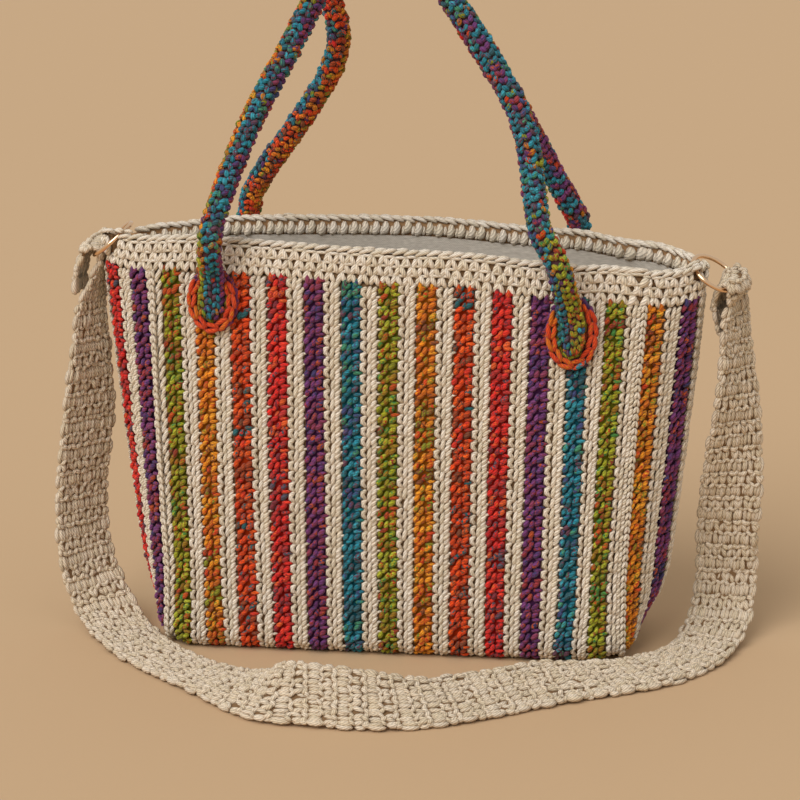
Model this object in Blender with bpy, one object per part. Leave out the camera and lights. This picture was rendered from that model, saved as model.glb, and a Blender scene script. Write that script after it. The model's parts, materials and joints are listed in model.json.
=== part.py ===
"""Crochet tote bag with a flat base, two rolled handles and a long shoulder strap.

The frame is right handed in metres: X runs along the bag's width, the front
faces -Y and Z is up. The origin is the middle of the base, on the floor.

The bag's wall is worked from two outlines, a rounded rectangle at the base and
a pointed eye at the rim. A place on it is given by its pair number, counted in
pairs of stripes round the bag from the seam at the front left, and a height.
"""
import bpy
import bmesh
import math
import numpy as np
from mathutils import Matrix, Vector

# Bag body
BAG_HEIGHT = 0.254
RIM_WIDTH = 0.375
RIM_DEPTH = 0.088
BASE_WIDTH = 0.300
BASE_DEPTH = 0.102
BASE_CORNER_RADIUS = 0.025
BASE_EDGE_RADIUS = 0.012
BASE_END_LIFT = 0.0047
BASE_LIFT_PAIRS = 0.75
BELLY = 0.004
WALL_RIPPLE = 0.0012
RIPPLE_TURN_PER_PAIR = 1.7
RIPPLE_TURN_WITH_HEIGHT = 4.0
HIGHEST_RISE = 1.03
# How far each end bows out above the base and tucks in at its foot: left, right
END_SWELL = (0.0075, 0.0095)
END_TUCK = (0.0020, 0.0045)
END_SWELL_BY_RISE = ((0.05, 0.0), (0.12, 0.7), (0.20, 1.0), (0.45, 0.72), (0.70, 0.38),
                     (0.92, 0.0))
END_TUCK_RISE = 0.14
END_REACH_PAIRS = 4.5
END_TURN_PAIRS = 2.4
WALL = 0.0045
WALL_LEVELS = (1.0, 0.80, 0.60, 0.42, 0.26, 0.12)
FIT_GAP = 0.0003
PANEL_GAP = 0.0005
FRONT_PAIRS = 13
GUSSET_PAIRS = 4
END_COLUMNS_PER_PAIR = 2
ROWS_PER_STRIPE = 2
COLOUR_RELIEF = 0.0010
CREAM_RELIEF = 0.0007
STRIPE_GROOVE = 0.0005
STRIPE_START = 0.25
STRIPE_END = 0.75
RIGHT_GUSSET_MARGIN = 0.06
RIDGE_SMOOTH_ANGLE = 38.0

# Rim band, its height at places round the mouth and its three rounds
RIM_BAND = 0.019
RIM_ROUNDS = 3
ROUND_RELIEF = 0.0008
RIM_CHAIN_HEIGHT = 0.0025
CHAIN_SIDE_DROP = 0.45
RIM_CUSP = 1.85
RIM_HEIGHT_CHANGES = ((1.3, 0.0033), (7.5, -0.0005), (12.0, -0.0092), (13.8, -0.0140),
                      (15.0, -0.0120), (17.0, -0.0045), (19.0, 0.0), (23.5, 0.0048),
                      (28.0, 0.0045), (30.0, 0.0010), (31.3, -0.0025), (32.4, 0.0015),
                      (33.3, 0.0005))

# Seams and lining
SEAM_RADIUS = 0.0019
LINING_THICKNESS = 0.0009
LINING_GAP = 0.0008
LINING_SLACK = 0.0012
LINING_DROP = 0.010
LINING_LEVELS = (1.0, 0.62, 0.23, 0.095)
LINING_FOOT_TUCK = 0.6

# Handles, their pads and the chain edging round their ends
HANDLE_RADIUS = 0.0076
HANDLE_FLAT_HALF_WIDTH = 0.0080
HANDLE_FLAT_HALF_THICKNESS = 0.0034
HANDLE_SIDES = 8
HANDLE_STEP = 0.0185
HANDLE_TIP_TAPER = 0.7
# Where each handle end lies on its pad: up from the pad's middle and off the pad
HANDLE_END_SPOTS = ((0.016, 0.0032), (0.004, 0.0), (-0.009, 0.0))
PATCH_HALF_WIDTH = 0.0160
PATCH_THICKNESS = 0.0032
EDGING_RADIUS = 0.0019
EDGING_INSET = 0.0015
EDGING_OPENING = 120.0
# Places are typed on a grid that follows the bag: these are its steps across the rim's
# width and depth and up the bag's height
GRID_STEPS = (375.0, 88.0, 254.0)
GRID_SIZES = (RIM_WIDTH / GRID_STEPS[0], RIM_DEPTH / GRID_STEPS[1],
              BAG_HEIGHT / GRID_STEPS[2])
# Middle of each pad across and up, its half height, its side of the bag, and how far
# aside the handle's end starts and stops on it
PADS = {
    "front_left": (-110.0, 222.0, 20.0, -1, 1.5),
    "front_right": (106.5, 208.0, 22.5, -1, -3.0),
    "back_left": (-106.0, 221.0, 20.5, 1, -4.0),
    "back_right": (106.0, 220.0, 20.5, 1, -4.0),
}

# Rings
RING_DIAMETER = 0.0330
RING_WIRE = 0.0028
RING_HOLE_CLEARANCE = 0.0024

# Shoulder strap
STRAP_WIDTH = 0.038
STRAP_THICKNESS = 0.0036
STRAP_ROW = 0.0085
STRAP_RIDGE = 0.0007
STRAP_FOLD_GAP = 0.0020
FLOOR_GAP = 0.0003

CREAM = ("cream_cotton", (0.78, 0.70, 0.58))
STRIPE_COLOURS = {
    "green": (0.32, 0.36, 0.05),
    "yellow": (0.71, 0.38, 0.04),
    "orange": (0.66, 0.18, 0.04),
    "red": (0.58, 0.03, 0.03),
    "purple": (0.13, 0.04, 0.16),
    "teal": (0.02, 0.19, 0.25),
}
FRONT_STRIPES = ("green", "yellow", "orange", "red", "purple", "teal", "green", "yellow",
                 "orange", "red", "purple", "teal", "green")
RIGHT_GUSSET_STRIPES = ("yellow", "purple", "green", "red")
BACK_STRIPES = ("orange", "yellow", "green", "teal", "purple", "red", "orange", "yellow",
                "green", "teal", "purple", "red", "orange")
LEFT_GUSSET_STRIPES = ("teal", "yellow", "red", "purple")


def clear_scene():
    for obj in list(bpy.data.objects):
        bpy.data.objects.remove(obj, do_unlink=True)


def make_material(name, colour, roughness=0.85, metallic=0.0):
    found = bpy.data.materials.get(name)
    if found:
        return found
    material = bpy.data.materials.new(name)
    material.use_nodes = True
    shader = material.node_tree.nodes["Principled BSDF"]
    shader.inputs["Base Color"].default_value = (*colour, 1.0)
    shader.inputs["Roughness"].default_value = roughness
    shader.inputs["Metallic"].default_value = metallic
    material.diffuse_color = (*colour, 1.0)
    return material


def add_object(name, mesh, materials, origin=Vector((0, 0, 0))):
    """Make a named object whose origin is at a chosen place."""
    mesh.transform(Matrix.Translation(-Vector(origin)))
    obj = bpy.data.objects.new(name, mesh)
    obj.location = origin
    for material in materials:
        mesh.materials.append(material)
    bpy.context.collection.objects.link(obj)
    return obj


def finish_mesh(bm, name, smooth_angle=50.0):
    bmesh.ops.recalc_face_normals(bm, faces=bm.faces)
    mesh = bpy.data.meshes.new(name)
    bm.to_mesh(mesh)
    bm.free()
    mesh.shade_smooth()
    mesh.set_sharp_from_angle(angle=math.radians(smooth_angle))
    return mesh


# Outlines of the base and the rim

def polyline_lengths(points):
    steps = np.linalg.norm(np.diff(points, axis=0), axis=1)
    return np.concatenate(([0.0], np.cumsum(steps)))


def point_at_fraction(points, lengths, fraction):
    """Point of a polyline at a fraction of its length."""
    place = np.clip(fraction, 0.0, 1.0) * lengths[-1]
    return np.array([np.interp(place, lengths, points[:, axis]) for axis in range(2)])


def rim_half_outline(samples=600):
    """Front half of the eye-shaped rim, left tip to right tip."""
    angles = np.linspace(0.0, math.pi, samples)
    across = -np.cos(angles)
    deep = np.maximum(1.0 - across ** 2, 0.0) ** (1.0 / RIM_CUSP)
    return np.column_stack((across * RIM_WIDTH / 2, -deep * RIM_DEPTH / 2))


def base_front_outline(samples=30):
    """Front of the base, from corner middle to corner middle."""
    half_width = BASE_WIDTH / 2 - BASE_CORNER_RADIUS
    half_depth = BASE_DEPTH / 2 - BASE_CORNER_RADIUS
    turn = np.linspace(math.pi / 4, 0.0, samples)
    right = np.column_stack((half_width + BASE_CORNER_RADIUS * np.sin(turn),
                             -half_depth - BASE_CORNER_RADIUS * np.cos(turn)))
    left = right * np.array((-1.0, 1.0))
    return np.vstack((left, right[::-1]))


def base_end_outline(samples=30):
    """Right end of the base, from the front corner middle to the back one."""
    half_width = BASE_WIDTH / 2 - BASE_CORNER_RADIUS
    half_depth = BASE_DEPTH / 2 - BASE_CORNER_RADIUS
    turn = np.linspace(math.pi / 4, math.pi / 2, samples)
    front = np.column_stack((half_width + BASE_CORNER_RADIUS * np.sin(turn),
                             -half_depth - BASE_CORNER_RADIUS * np.cos(turn)))
    back = front[::-1] * np.array((1.0, -1.0))
    return np.vstack((front, back))


RIM_HALF = rim_half_outline()
RIM_HALF_LENGTHS = polyline_lengths(RIM_HALF)
BASE_FRONT = base_front_outline()
BASE_FRONT_LENGTHS = polyline_lengths(BASE_FRONT)
BASE_END = base_end_outline()
BASE_END_LENGTHS = polyline_lengths(BASE_END)
HALF_PAIRS = FRONT_PAIRS + GUSSET_PAIRS
ALL_PAIRS = 2 * HALF_PAIRS
MIRROR_Y = np.array((1.0, -1.0))
MIRROR_X = np.array((-1.0, 1.0))


def rim_point(pair):
    """Place on the rim's outline at a pair number."""
    past_left_tip = (pair + GUSSET_PAIRS / 2) % ALL_PAIRS
    if past_left_tip <= HALF_PAIRS:
        return point_at_fraction(RIM_HALF, RIM_HALF_LENGTHS, past_left_tip / HALF_PAIRS)
    mirrored = (ALL_PAIRS - past_left_tip) / HALF_PAIRS
    return point_at_fraction(RIM_HALF, RIM_HALF_LENGTHS, mirrored) * MIRROR_Y


def base_point(pair):
    """Place on the base's outline at a pair number."""
    pair = pair % ALL_PAIRS
    if pair <= FRONT_PAIRS:
        return point_at_fraction(BASE_FRONT, BASE_FRONT_LENGTHS, pair / FRONT_PAIRS)
    if pair <= HALF_PAIRS:
        fraction = (pair - FRONT_PAIRS) / GUSSET_PAIRS
        return point_at_fraction(BASE_END, BASE_END_LENGTHS, fraction)
    if pair <= HALF_PAIRS + FRONT_PAIRS:
        fraction = 1.0 - (pair - HALF_PAIRS) / FRONT_PAIRS
        return point_at_fraction(BASE_FRONT, BASE_FRONT_LENGTHS, fraction) * MIRROR_Y
    fraction = 1.0 - (pair - HALF_PAIRS - FRONT_PAIRS) / GUSSET_PAIRS
    return point_at_fraction(BASE_END, BASE_END_LENGTHS, fraction) * MIRROR_X


def rim_height(pair):
    """Height of the rim's top edge, which dips towards the ring ends."""
    pair = pair % ALL_PAIRS
    stops = [stop for stop, _ in RIM_HEIGHT_CHANGES]
    changes = [change for _, change in RIM_HEIGHT_CHANGES]
    stops = [stops[-1] - ALL_PAIRS] + stops + [stops[0] + ALL_PAIRS]
    changes = [changes[-1]] + changes + [changes[0]]
    for low, high, start, end in zip(stops, stops[1:], changes, changes[1:]):
        if low <= pair <= high:
            blend = (1.0 - math.cos(math.pi * (pair - low) / (high - low))) / 2
            return BAG_HEIGHT + start + (end - start) * blend
    return BAG_HEIGHT


def wall_top(pair):
    return rim_height(pair) - RIM_BAND


def stripe_stops():
    """Pair numbers and where on the outline they lie.

    The front ends at the right with a whole cream stripe and the right gusset starts
    with its first coloured one, and the back mirrors the front.
    """
    last = FRONT_PAIRS - STRIPE_START
    place = last * FRONT_PAIRS / (FRONT_PAIRS + STRIPE_START)
    return ((0, 0), (last, place), (FRONT_PAIRS, FRONT_PAIRS),
            (FRONT_PAIRS + STRIPE_START, FRONT_PAIRS + RIGHT_GUSSET_MARGIN),
            (HALF_PAIRS, HALF_PAIRS),
            (HALF_PAIRS + STRIPE_START, HALF_PAIRS + FRONT_PAIRS - place),
            (HALF_PAIRS + FRONT_PAIRS, HALF_PAIRS + FRONT_PAIRS), (ALL_PAIRS, ALL_PAIRS))


STRIPE_PAIRS, STRIPE_PLACES = zip(*stripe_stops())


def stripe_place(pair):
    """Place on the outlines, in even pair widths, of a pair number."""
    return float(np.interp(pair % ALL_PAIRS, STRIPE_PAIRS, STRIPE_PLACES))


def end_shift(place, rise):
    """How far an end's swell and tuck move a place of the wall along the bag.

    Each end is full in its middle, and its two corners are drawn in.
    """
    from_left = abs((place + GUSSET_PAIRS / 2 + HALF_PAIRS) % ALL_PAIRS - HALF_PAIRS)
    end = 0 if from_left < HALF_PAIRS / 2 else 1
    apart = from_left if end == 0 else HALF_PAIRS - from_left
    if apart >= END_REACH_PAIRS:
        return 0.0
    fade = 1.0 - apart / END_REACH_PAIRS
    rises, shares = zip(*END_SWELL_BY_RISE)
    swell = END_SWELL[end] * np.interp(rise, rises, shares)
    swell *= math.cos(math.pi * apart / END_TURN_PAIRS) * fade
    level = math.sin(math.pi / 2 * min(1.0, fade * 1.8))
    tuck = END_TUCK[end] * max(0.0, 1.0 - rise / END_TUCK_RISE) * level
    return (swell - tuck) * (-1.0 if end == 0 else 1.0)


def section_point(pair, height):
    """Place on the outer wall at a pair number and a height."""
    rise = min(max(height / BAG_HEIGHT, 0.0), HIGHEST_RISE)
    place = stripe_place(pair)
    flat = base_point(place) * (1.0 - rise) + rim_point(place) * rise
    swell = math.sin(math.pi * min(rise, 1.0))
    turn = pair * RIPPLE_TURN_PER_PAIR + rise * RIPPLE_TURN_WITH_HEIGHT
    side = 1.0 if flat[1] > 0 else -1.0
    from_end = min(1.0, abs(flat[1]) / (RIM_DEPTH / 3))
    bulge = (BELLY + WALL_RIPPLE * math.sin(turn)) * swell * from_end
    return Vector((flat[0] + end_shift(place, rise), flat[1] + side * bulge, height))


def outward(pair, height, step=0.05):
    """Level direction pointing out of the wall."""
    along = section_point(pair + step, height) - section_point(pair - step, height)
    return Vector((along.y, -along.x, 0.0)).normalized()


def wall_spot(pair, height, lift):
    return section_point(pair, height) + outward(pair, height) * lift


# Striped crochet panels

def stitch_relief(pair):
    """Height of the stitch rows above the wall, two rows in each stripe."""
    row = pair * 2 * ROWS_PER_STRIPE
    crest = abs(row - round(row)) * 2
    in_pair = pair % 1.0
    coloured = STRIPE_START < in_pair < STRIPE_END
    height = (COLOUR_RELIEF if coloured else CREAM_RELIEF) * crest
    at_stripe_edge = min(abs(in_pair - STRIPE_START), abs(in_pair - STRIPE_END)) < 1e-6
    return -STRIPE_GROOVE if at_stripe_edge else height


def base_height(pair):
    """Underside of the base, lifted at its two ends to make room for the seams."""
    from_end = min(pair, FRONT_PAIRS - pair)
    return BASE_END_LIFT * max(0.0, 1.0 - from_end / BASE_LIFT_PAIRS) ** 1.5


DOWN = Vector((0.0, 0.0, -1.0))


def base_arc(pair, inward, end, underside, steps):
    """Quarter turn from the foot of the wall to the base, as points and normals."""
    foot = section_point(pair, BASE_EDGE_RADIUS)
    out = outward(pair, BASE_EDGE_RADIUS)
    places = []
    for step in range(steps + 1):
        angle = math.pi / 2 * step / steps
        height = underside + (BASE_EDGE_RADIUS - underside) * (1 - math.sin(angle))
        share = 1 - math.cos(angle)
        level = foot.lerp(end, share) if end else foot + inward * share
        normal = (out * math.cos(angle) + DOWN * math.sin(angle)).normalized()
        places.append((Vector((level.x, level.y, height)), normal))
    return places


def wall_rows_down(pair):
    """Points and normals down the wall, from under the rim to above the base."""
    top = wall_top(pair)
    places = []
    for level in WALL_LEVELS:
        height = BASE_EDGE_RADIUS + (top - BASE_EDGE_RADIUS) * level
        places.append((section_point(pair, height), outward(pair, height)))
    return places


def main_column(pair, arc_rows=2, base_rows=2):
    """One column of the long panel: down the front, under the base, up the back."""
    back_pair = ALL_PAIRS - GUSSET_PAIRS - pair
    inward = Vector((0.0, BASE_EDGE_RADIUS, 0.0))
    underside = base_height(pair)
    front_arc = base_arc(pair, inward, None, underside, arc_rows)
    back_arc = base_arc(back_pair, -inward, None, underside, arc_rows)
    start, end = front_arc[-1][0], back_arc[-1][0]
    across = [(start.lerp(end, step / base_rows), DOWN) for step in range(1, base_rows)]
    down = wall_rows_down(pair) + front_arc
    up = wall_rows_down(back_pair) + back_arc
    return down + across + up[::-1]


def gusset_column(pair, end_x, arc_rows=2):
    """One column of an end panel, down to the end edge of the base."""
    first = FRONT_PAIRS if pair < HALF_PAIRS + 1 else ALL_PAIRS - GUSSET_PAIRS
    start_y = section_point(first, BASE_EDGE_RADIUS).y
    end_y = section_point(first + GUSSET_PAIRS, BASE_EDGE_RADIUS).y
    start_y -= math.copysign(BASE_EDGE_RADIUS, start_y)
    end_y -= math.copysign(BASE_EDGE_RADIUS, end_y)
    share = (pair - first) / GUSSET_PAIRS
    end = Vector((end_x, start_y + (end_y - start_y) * share, 0.0))
    return wall_rows_down(pair) + base_arc(pair, None, end, BASE_END_LIFT, arc_rows)


def zip_strip(bm, fine, coarse):
    """Fill the strip between two rows of vertices of different counts."""
    i, j = 0, 0
    while i < len(fine) - 1 or j < len(coarse) - 1:
        ahead_fine = (i + 1) / (len(fine) - 1)
        ahead_coarse = (j + 1) / (len(coarse) - 1)
        if j == len(coarse) - 1 or (i < len(fine) - 1 and ahead_fine <= ahead_coarse):
            bm.faces.new((fine[i], fine[i + 1], coarse[j]))
            i += 1
        else:
            bm.faces.new((fine[i], coarse[j + 1], coarse[j]))
            j += 1


def crochet_panel(name, pairs, column_of, stripe_of, inner_per_pair=1, folded=False):
    """A striped panel: ridged rows outside, a plain face inside, closed edges.

    A folded panel's columns start and end at the rim, and its edges match those
    of the end panels, whose columns run from the rim to the base.
    """
    columns = [column_of(pair) for pair in pairs]
    grid = np.array([[tuple(point) for point, _ in column] for column in columns])
    normals = np.array([[tuple(normal) for _, normal in column] for column in columns])
    relief = np.array([stitch_relief(pair) for pair in pairs])[:, None]
    on_base = -np.minimum(normals[:, :, 2], 0.0)
    relief = np.where(relief > 0, relief * (1.0 - on_base), relief)
    outer_points = grid + normals * relief[:, :, None]
    inner_columns = list(range(0, len(pairs), 4 * ROWS_PER_STRIPE // inner_per_pair))
    inner_points = grid[inner_columns] - normals[inner_columns] * WALL
    bm = bmesh.new()
    outer = [[bm.verts.new(p) for p in column] for column in outer_points]
    inner = [[bm.verts.new(p) for p in column] for column in inner_points]
    for column in range(len(outer) - 1):
        middle = (pairs[column] + pairs[column + 1]) / 2
        for row in range(len(outer[0]) - 1):
            face = bm.faces.new((outer[column][row], outer[column + 1][row],
                                 outer[column + 1][row + 1], outer[column][row + 1]))
            face.material_index = stripe_of(middle)
    for column in range(len(inner) - 1):
        for row in range(len(inner[0]) - 1):
            bm.faces.new((inner[column][row], inner[column][row + 1],
                          inner[column + 1][row + 1], inner[column + 1][row]))
    for row in (0, -1):
        zip_strip(bm, [column[row] for column in outer], [column[row] for column in inner])
    for edge in (0, -1):
        if folded:
            middle = len(outer[0]) // 2
            zip_strip(bm, outer[edge][:middle + 1], inner[edge][:middle + 1])
            zip_strip(bm, outer[edge][middle:][::-1], inner[edge][middle:][::-1])
        else:
            zip_strip(bm, outer[edge], inner[edge])
    return finish_mesh(bm, name, RIDGE_SMOOTH_ANGLE)


def stripe_slots(colours):
    """Material slots of a panel and the slot of each place across it."""
    names = list(dict.fromkeys(colours))
    materials = [make_material(*CREAM)]
    materials += [make_material(name + "_wool", STRIPE_COLOURS[name]) for name in names]

    def slot_at(first_pair, pair):
        number, in_pair = divmod(pair - first_pair, 1.0)
        coloured = STRIPE_START < in_pair < STRIPE_END
        return 1 + names.index(colours[int(number)]) if coloured else 0
    return materials, slot_at


def column_pairs(first, count):
    """Pair numbers of the crest and valley columns, inset at both edges."""
    pairs = np.linspace(first, first + count, count * 4 * ROWS_PER_STRIPE + 1)
    inset = PANEL_GAP / 2 / (RIM_WIDTH / (FRONT_PAIRS + GUSSET_PAIRS / 2))
    pairs[0] += inset
    pairs[-1] -= inset
    return pairs


def add_main_panel():
    materials, slot_at = stripe_slots(FRONT_STRIPES)
    mesh = crochet_panel("main_panel", column_pairs(0, FRONT_PAIRS), main_column,
                         lambda pair: slot_at(0, pair), folded=True)
    return add_object("main_panel", mesh, materials)


def add_gusset(name, first_pair, colours, side):
    materials, slot_at = stripe_slots(colours)
    end_x = section_point(first_pair, BASE_EDGE_RADIUS).x
    mesh = crochet_panel(name, column_pairs(first_pair, GUSSET_PAIRS),
                         lambda pair: gusset_column(pair, end_x + side * PANEL_GAP),
                         lambda pair: slot_at(first_pair, pair), END_COLUMNS_PER_PAIR)
    return add_object(name, mesh, materials)


# Swept pieces

def tube_mesh(name, centres, frames, section_of, closed=False, material_of=None,
              smooth_angle=50.0):
    """Sweep a section along a path. section_of(index) gives (side, up) pairs."""
    bm = bmesh.new()
    rings = []
    for index, (centre, (side, up)) in enumerate(zip(centres, frames)):
        rings.append([bm.verts.new(centre + side * a + up * b)
                      for a, b in section_of(index)])
    count = len(rings[0])
    spans = len(rings) if closed else len(rings) - 1
    for index in range(spans):
        here, there = rings[index], rings[(index + 1) % len(rings)]
        for k in range(count):
            face = bm.faces.new((here[k], here[(k + 1) % count],
                                 there[(k + 1) % count], there[k]))
            if material_of:
                face.material_index = material_of(index, k)
    if not closed:
        bm.faces.new(rings[0])
        bm.faces.new(rings[-1][::-1])
    return finish_mesh(bm, name, smooth_angle)


def round_section(radius, sides):
    angles = [2 * math.pi * k / sides for k in range(sides)]
    return [(radius * math.cos(a), radius * math.sin(a)) for a in angles]


def path_tangents(points, closed=False):
    count = len(points)
    tangents = []
    for i in range(count):
        before = points[i - 1] if closed or i else points[0]
        after = points[(i + 1) % count] if closed or i < count - 1 else points[-1]
        tangents.append((after - before).normalized())
    return tangents


def seam_path(pair):
    """Middle line of a joining seam: down the front, under the end, up the back."""
    lift = SEAM_RADIUS + 2 * FIT_GAP
    return [point + normal * lift for point, normal in main_column(pair)]


def add_seam(name, pair):
    points = seam_path(pair)
    frames = []
    for tangent in path_tangents(points):
        side = tangent.cross(Vector((1, 0, 0))).normalized()
        frames.append((side, side.cross(tangent).normalized()))
    section = round_section(SEAM_RADIUS, 5)
    mesh = tube_mesh(name, points, frames, lambda index: section)
    return add_object(name, mesh, [make_material(*CREAM)])


# Rim band

def rim_pairs():
    """Columns of the rim, closer together round the two tips."""
    pairs = []
    for start in (0, HALF_PAIRS):
        pairs += [start + step for step in range(FRONT_PAIRS)]
        pairs += [start + FRONT_PAIRS + step / END_COLUMNS_PER_PAIR
                  for step in range(GUSSET_PAIRS * END_COLUMNS_PER_PAIR)]
    return pairs


def rim_profile():
    """Section of the rim band as (inward, up from its lower edge) pairs."""
    low = 2 * FIT_GAP
    high = RIM_BAND - RIM_CHAIN_HEIGHT
    rounds = high / RIM_ROUNDS
    outer = [(0.0, low)]
    for number in range(RIM_ROUNDS):
        outer.append((-ROUND_RELIEF, rounds * (number + 0.5)))
        outer.append((0.0, rounds * (number + 1)))
    chain_side = RIM_BAND - RIM_CHAIN_HEIGHT * CHAIN_SIDE_DROP
    chain = [(-ROUND_RELIEF, chain_side), (WALL / 2, RIM_BAND),
             (WALL + ROUND_RELIEF / 2, chain_side)]
    return outer + chain + [(WALL, high - rounds), (WALL, low)]


def add_rim_band(ring_frames):
    profile = rim_profile()
    bm = bmesh.new()
    columns = []
    for pair in rim_pairs():
        foot = wall_top(pair)
        columns.append([bm.verts.new(wall_spot(pair, foot + up, -inward))
                        for inward, up in profile])
    count = len(profile)
    for index, here in enumerate(columns):
        there = columns[(index + 1) % len(columns)]
        for k in range(count):
            bm.faces.new((here[k], there[k], there[(k + 1) % count], here[(k + 1) % count]))
    mesh = finish_mesh(bm, "rim_band", 60.0)
    rim = add_object("rim_band", mesh, [make_material(*CREAM)])
    for side, frame in ring_frames.items():
        cutter = add_eyelet_cutter(side, frame)
        cut = rim.modifiers.new(side + "_eyelet", "BOOLEAN")
        cut.operation = "DIFFERENCE"
        cut.object = cutter
    return rim


def add_eyelet_cutter(side, frame):
    """The room that a ring's wire needs where it passes through the rim."""
    mesh = ring_mesh(side + "_eyelet_cutter", RING_WIRE / 2 + RING_HOLE_CLEARANCE, 20, 6)
    cutter = add_object(side + "_eyelet_cutter", mesh, [])
    cutter.matrix_world = frame
    cutter.hide_render = True
    cutter.display_type = "WIRE"
    return cutter


# Lining

def add_lining():
    """A thin cloth bag that lines the crochet up to just below the rim's top."""
    pairs = rim_pairs()
    count = len(pairs)
    first_flat = math.ceil(BASE_LIFT_PAIRS)
    left_end = section_point(first_flat, BASE_EDGE_RADIUS).x
    right_end = section_point(FRONT_PAIRS - first_flat, BASE_EDGE_RADIUS).x
    tuck = BASE_EDGE_RADIUS * LINING_FOOT_TUCK
    bm = bmesh.new()
    shells = []
    for depth in (WALL + LINING_GAP, WALL + LINING_GAP + LINING_THICKNESS):
        floor = depth
        loops = []
        for level in LINING_LEVELS:
            loop = []
            slack = LINING_SLACK if level < 1.0 else 0.0
            for pair in pairs:
                top = rim_height(pair) - LINING_DROP
                height = floor + BASE_EDGE_RADIUS + (top - floor - BASE_EDGE_RADIUS) * level
                loop.append(bm.verts.new(wall_spot(pair, height, -depth - slack)))
            loops.append(loop)
        foot = []
        for pair in pairs:
            place = wall_spot(pair, floor + BASE_EDGE_RADIUS, -depth - tuck)
            level_x = max(left_end, min(right_end, place.x))
            foot.append(bm.verts.new((level_x, place.y, floor)))
        loops.append(foot)
        shells.append(loops)
    for index, loops in enumerate(shells):
        for upper, lower in zip(loops, loops[1:]):
            for k in range(count):
                near = (k + 1) % count
                bm.faces.new((upper[k], upper[near], lower[near], lower[k]))
        bm.faces.new(loops[-1])
    for k in range(count):
        near = (k + 1) % count
        bm.faces.new((shells[0][0][k], shells[0][0][near], shells[1][0][near],
                      shells[1][0][k]))
    mesh = finish_mesh(bm, "lining")
    grey = make_material("grey_cotton", (0.55, 0.56, 0.56), 0.9)
    return add_object("lining", mesh, [grey])


# Handle pads, edgings and handles

def pair_near(x, height, side):
    """Pair number of the front or back wall at a given x and height."""
    low, high = (0.0, float(FRONT_PAIRS)) if side < 0 else (float(HALF_PAIRS + FRONT_PAIRS),
                                                              float(HALF_PAIRS))
    for _ in range(40):
        middle = (low + high) / 2
        if section_point(middle, height).x < x:
            low = middle
        else:
            high = middle
    return (low + high) / 2


def patch_spot(place, across, up, lift):
    """A place on a patch, measured from the patch's middle along the wall."""
    x, height, side = place[0] * GRID_SIZES[0], place[1] * GRID_SIZES[2], place[3]
    pair = pair_near(x + across, height + up, side)
    return wall_spot(pair, height + up, lift + COLOUR_RELIEF + FIT_GAP)


def oval(count, half_width, half_height):
    return [(half_width * math.cos(2 * math.pi * k / count),
             half_height * math.sin(2 * math.pi * k / count)) for k in range(count)]


def add_patch(name, place, count=14):
    bm = bmesh.new()
    rings = []
    for shrink, lift in ((1.0, 0.0), (1.0, PATCH_THICKNESS * 0.6), (0.9, PATCH_THICKNESS)):
        ring = [bm.verts.new(patch_spot(place, a * shrink, b * shrink, lift))
                for a, b in oval(count, PATCH_HALF_WIDTH, place[2] * GRID_SIZES[2])]
        rings.append(ring)
    for lower, upper in zip(rings, rings[1:]):
        for k in range(count):
            near = (k + 1) % count
            bm.faces.new((lower[k], lower[near], upper[near], upper[k]))
    for ring, lift in ((rings[0], 0.0), (rings[-1], PATCH_THICKNESS)):
        middle = bm.verts.new(patch_spot(place, 0.0, 0.0, lift))
        for k in range(count):
            bm.faces.new((ring[k], ring[(k + 1) % count], middle))
    mesh = finish_mesh(bm, name)
    purple = make_material("purple_wool", STRIPE_COLOURS["purple"])
    return add_object(name, mesh, [purple])


def add_edging(name, place, count=16):
    """A ring of chain stitch round the handle's end, open towards the handle."""
    lift = PATCH_THICKNESS + EDGING_RADIUS + FIT_GAP
    inset = EDGING_RADIUS + EDGING_INSET
    start = math.radians(90 + EDGING_OPENING / 2)
    end = math.radians(450 - EDGING_OPENING / 2)
    centres, frames = [], []
    for step in range(count + 1):
        angle = start + (end - start) * step / count
        across = (PATCH_HALF_WIDTH - inset) * math.cos(angle)
        up = (place[2] * GRID_SIZES[2] - inset) * math.sin(angle)
        centres.append(patch_spot(place, across, up, lift))
        height = place[1] * GRID_SIZES[2] + up
        frames.append(outward(pair_near(place[0] * GRID_SIZES[0] + across, height, place[3]),
                              height))
    sides = [tangent.cross(normal).normalized()
             for tangent, normal in zip(path_tangents(centres), frames)]
    section = round_section(EDGING_RADIUS, 4)
    mesh = tube_mesh(name, centres, list(zip(sides, frames)), lambda index: section)
    orange = make_material("orange_wool", STRIPE_COLOURS["orange"])
    return add_object(name, mesh, [orange])


def smooth_path(stops, spacing):
    """Points at an even spacing on a smooth curve through the stops."""
    stops = [np.array(stop, dtype=float) for stop in stops]
    stops = [2 * stops[0] - stops[1]] + stops + [2 * stops[-1] - stops[-2]]
    dense = []
    for a, b, c, d in zip(stops, stops[1:], stops[2:], stops[3:]):
        for step in range(12):
            t = step / 12
            dense.append(0.5 * (2 * b + (c - a) * t + (2 * a - 5 * b + 4 * c - d) * t ** 2
                                + (3 * b - a - 3 * c + d) * t ** 3))
    dense.append(stops[-2])
    dense = np.array(dense)
    lengths = polyline_lengths(dense[:, :3])
    count = max(2, round(lengths[-1] / spacing))
    places = np.linspace(0.0, lengths[-1], count + 1)
    return np.column_stack([np.interp(places, lengths, dense[:, axis])
                            for axis in range(dense.shape[1])])


def on_grid(stop):
    """A place in metres from its steps on the grid."""
    return [step * size for step, size in zip(stop, GRID_SIZES)]


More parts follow.
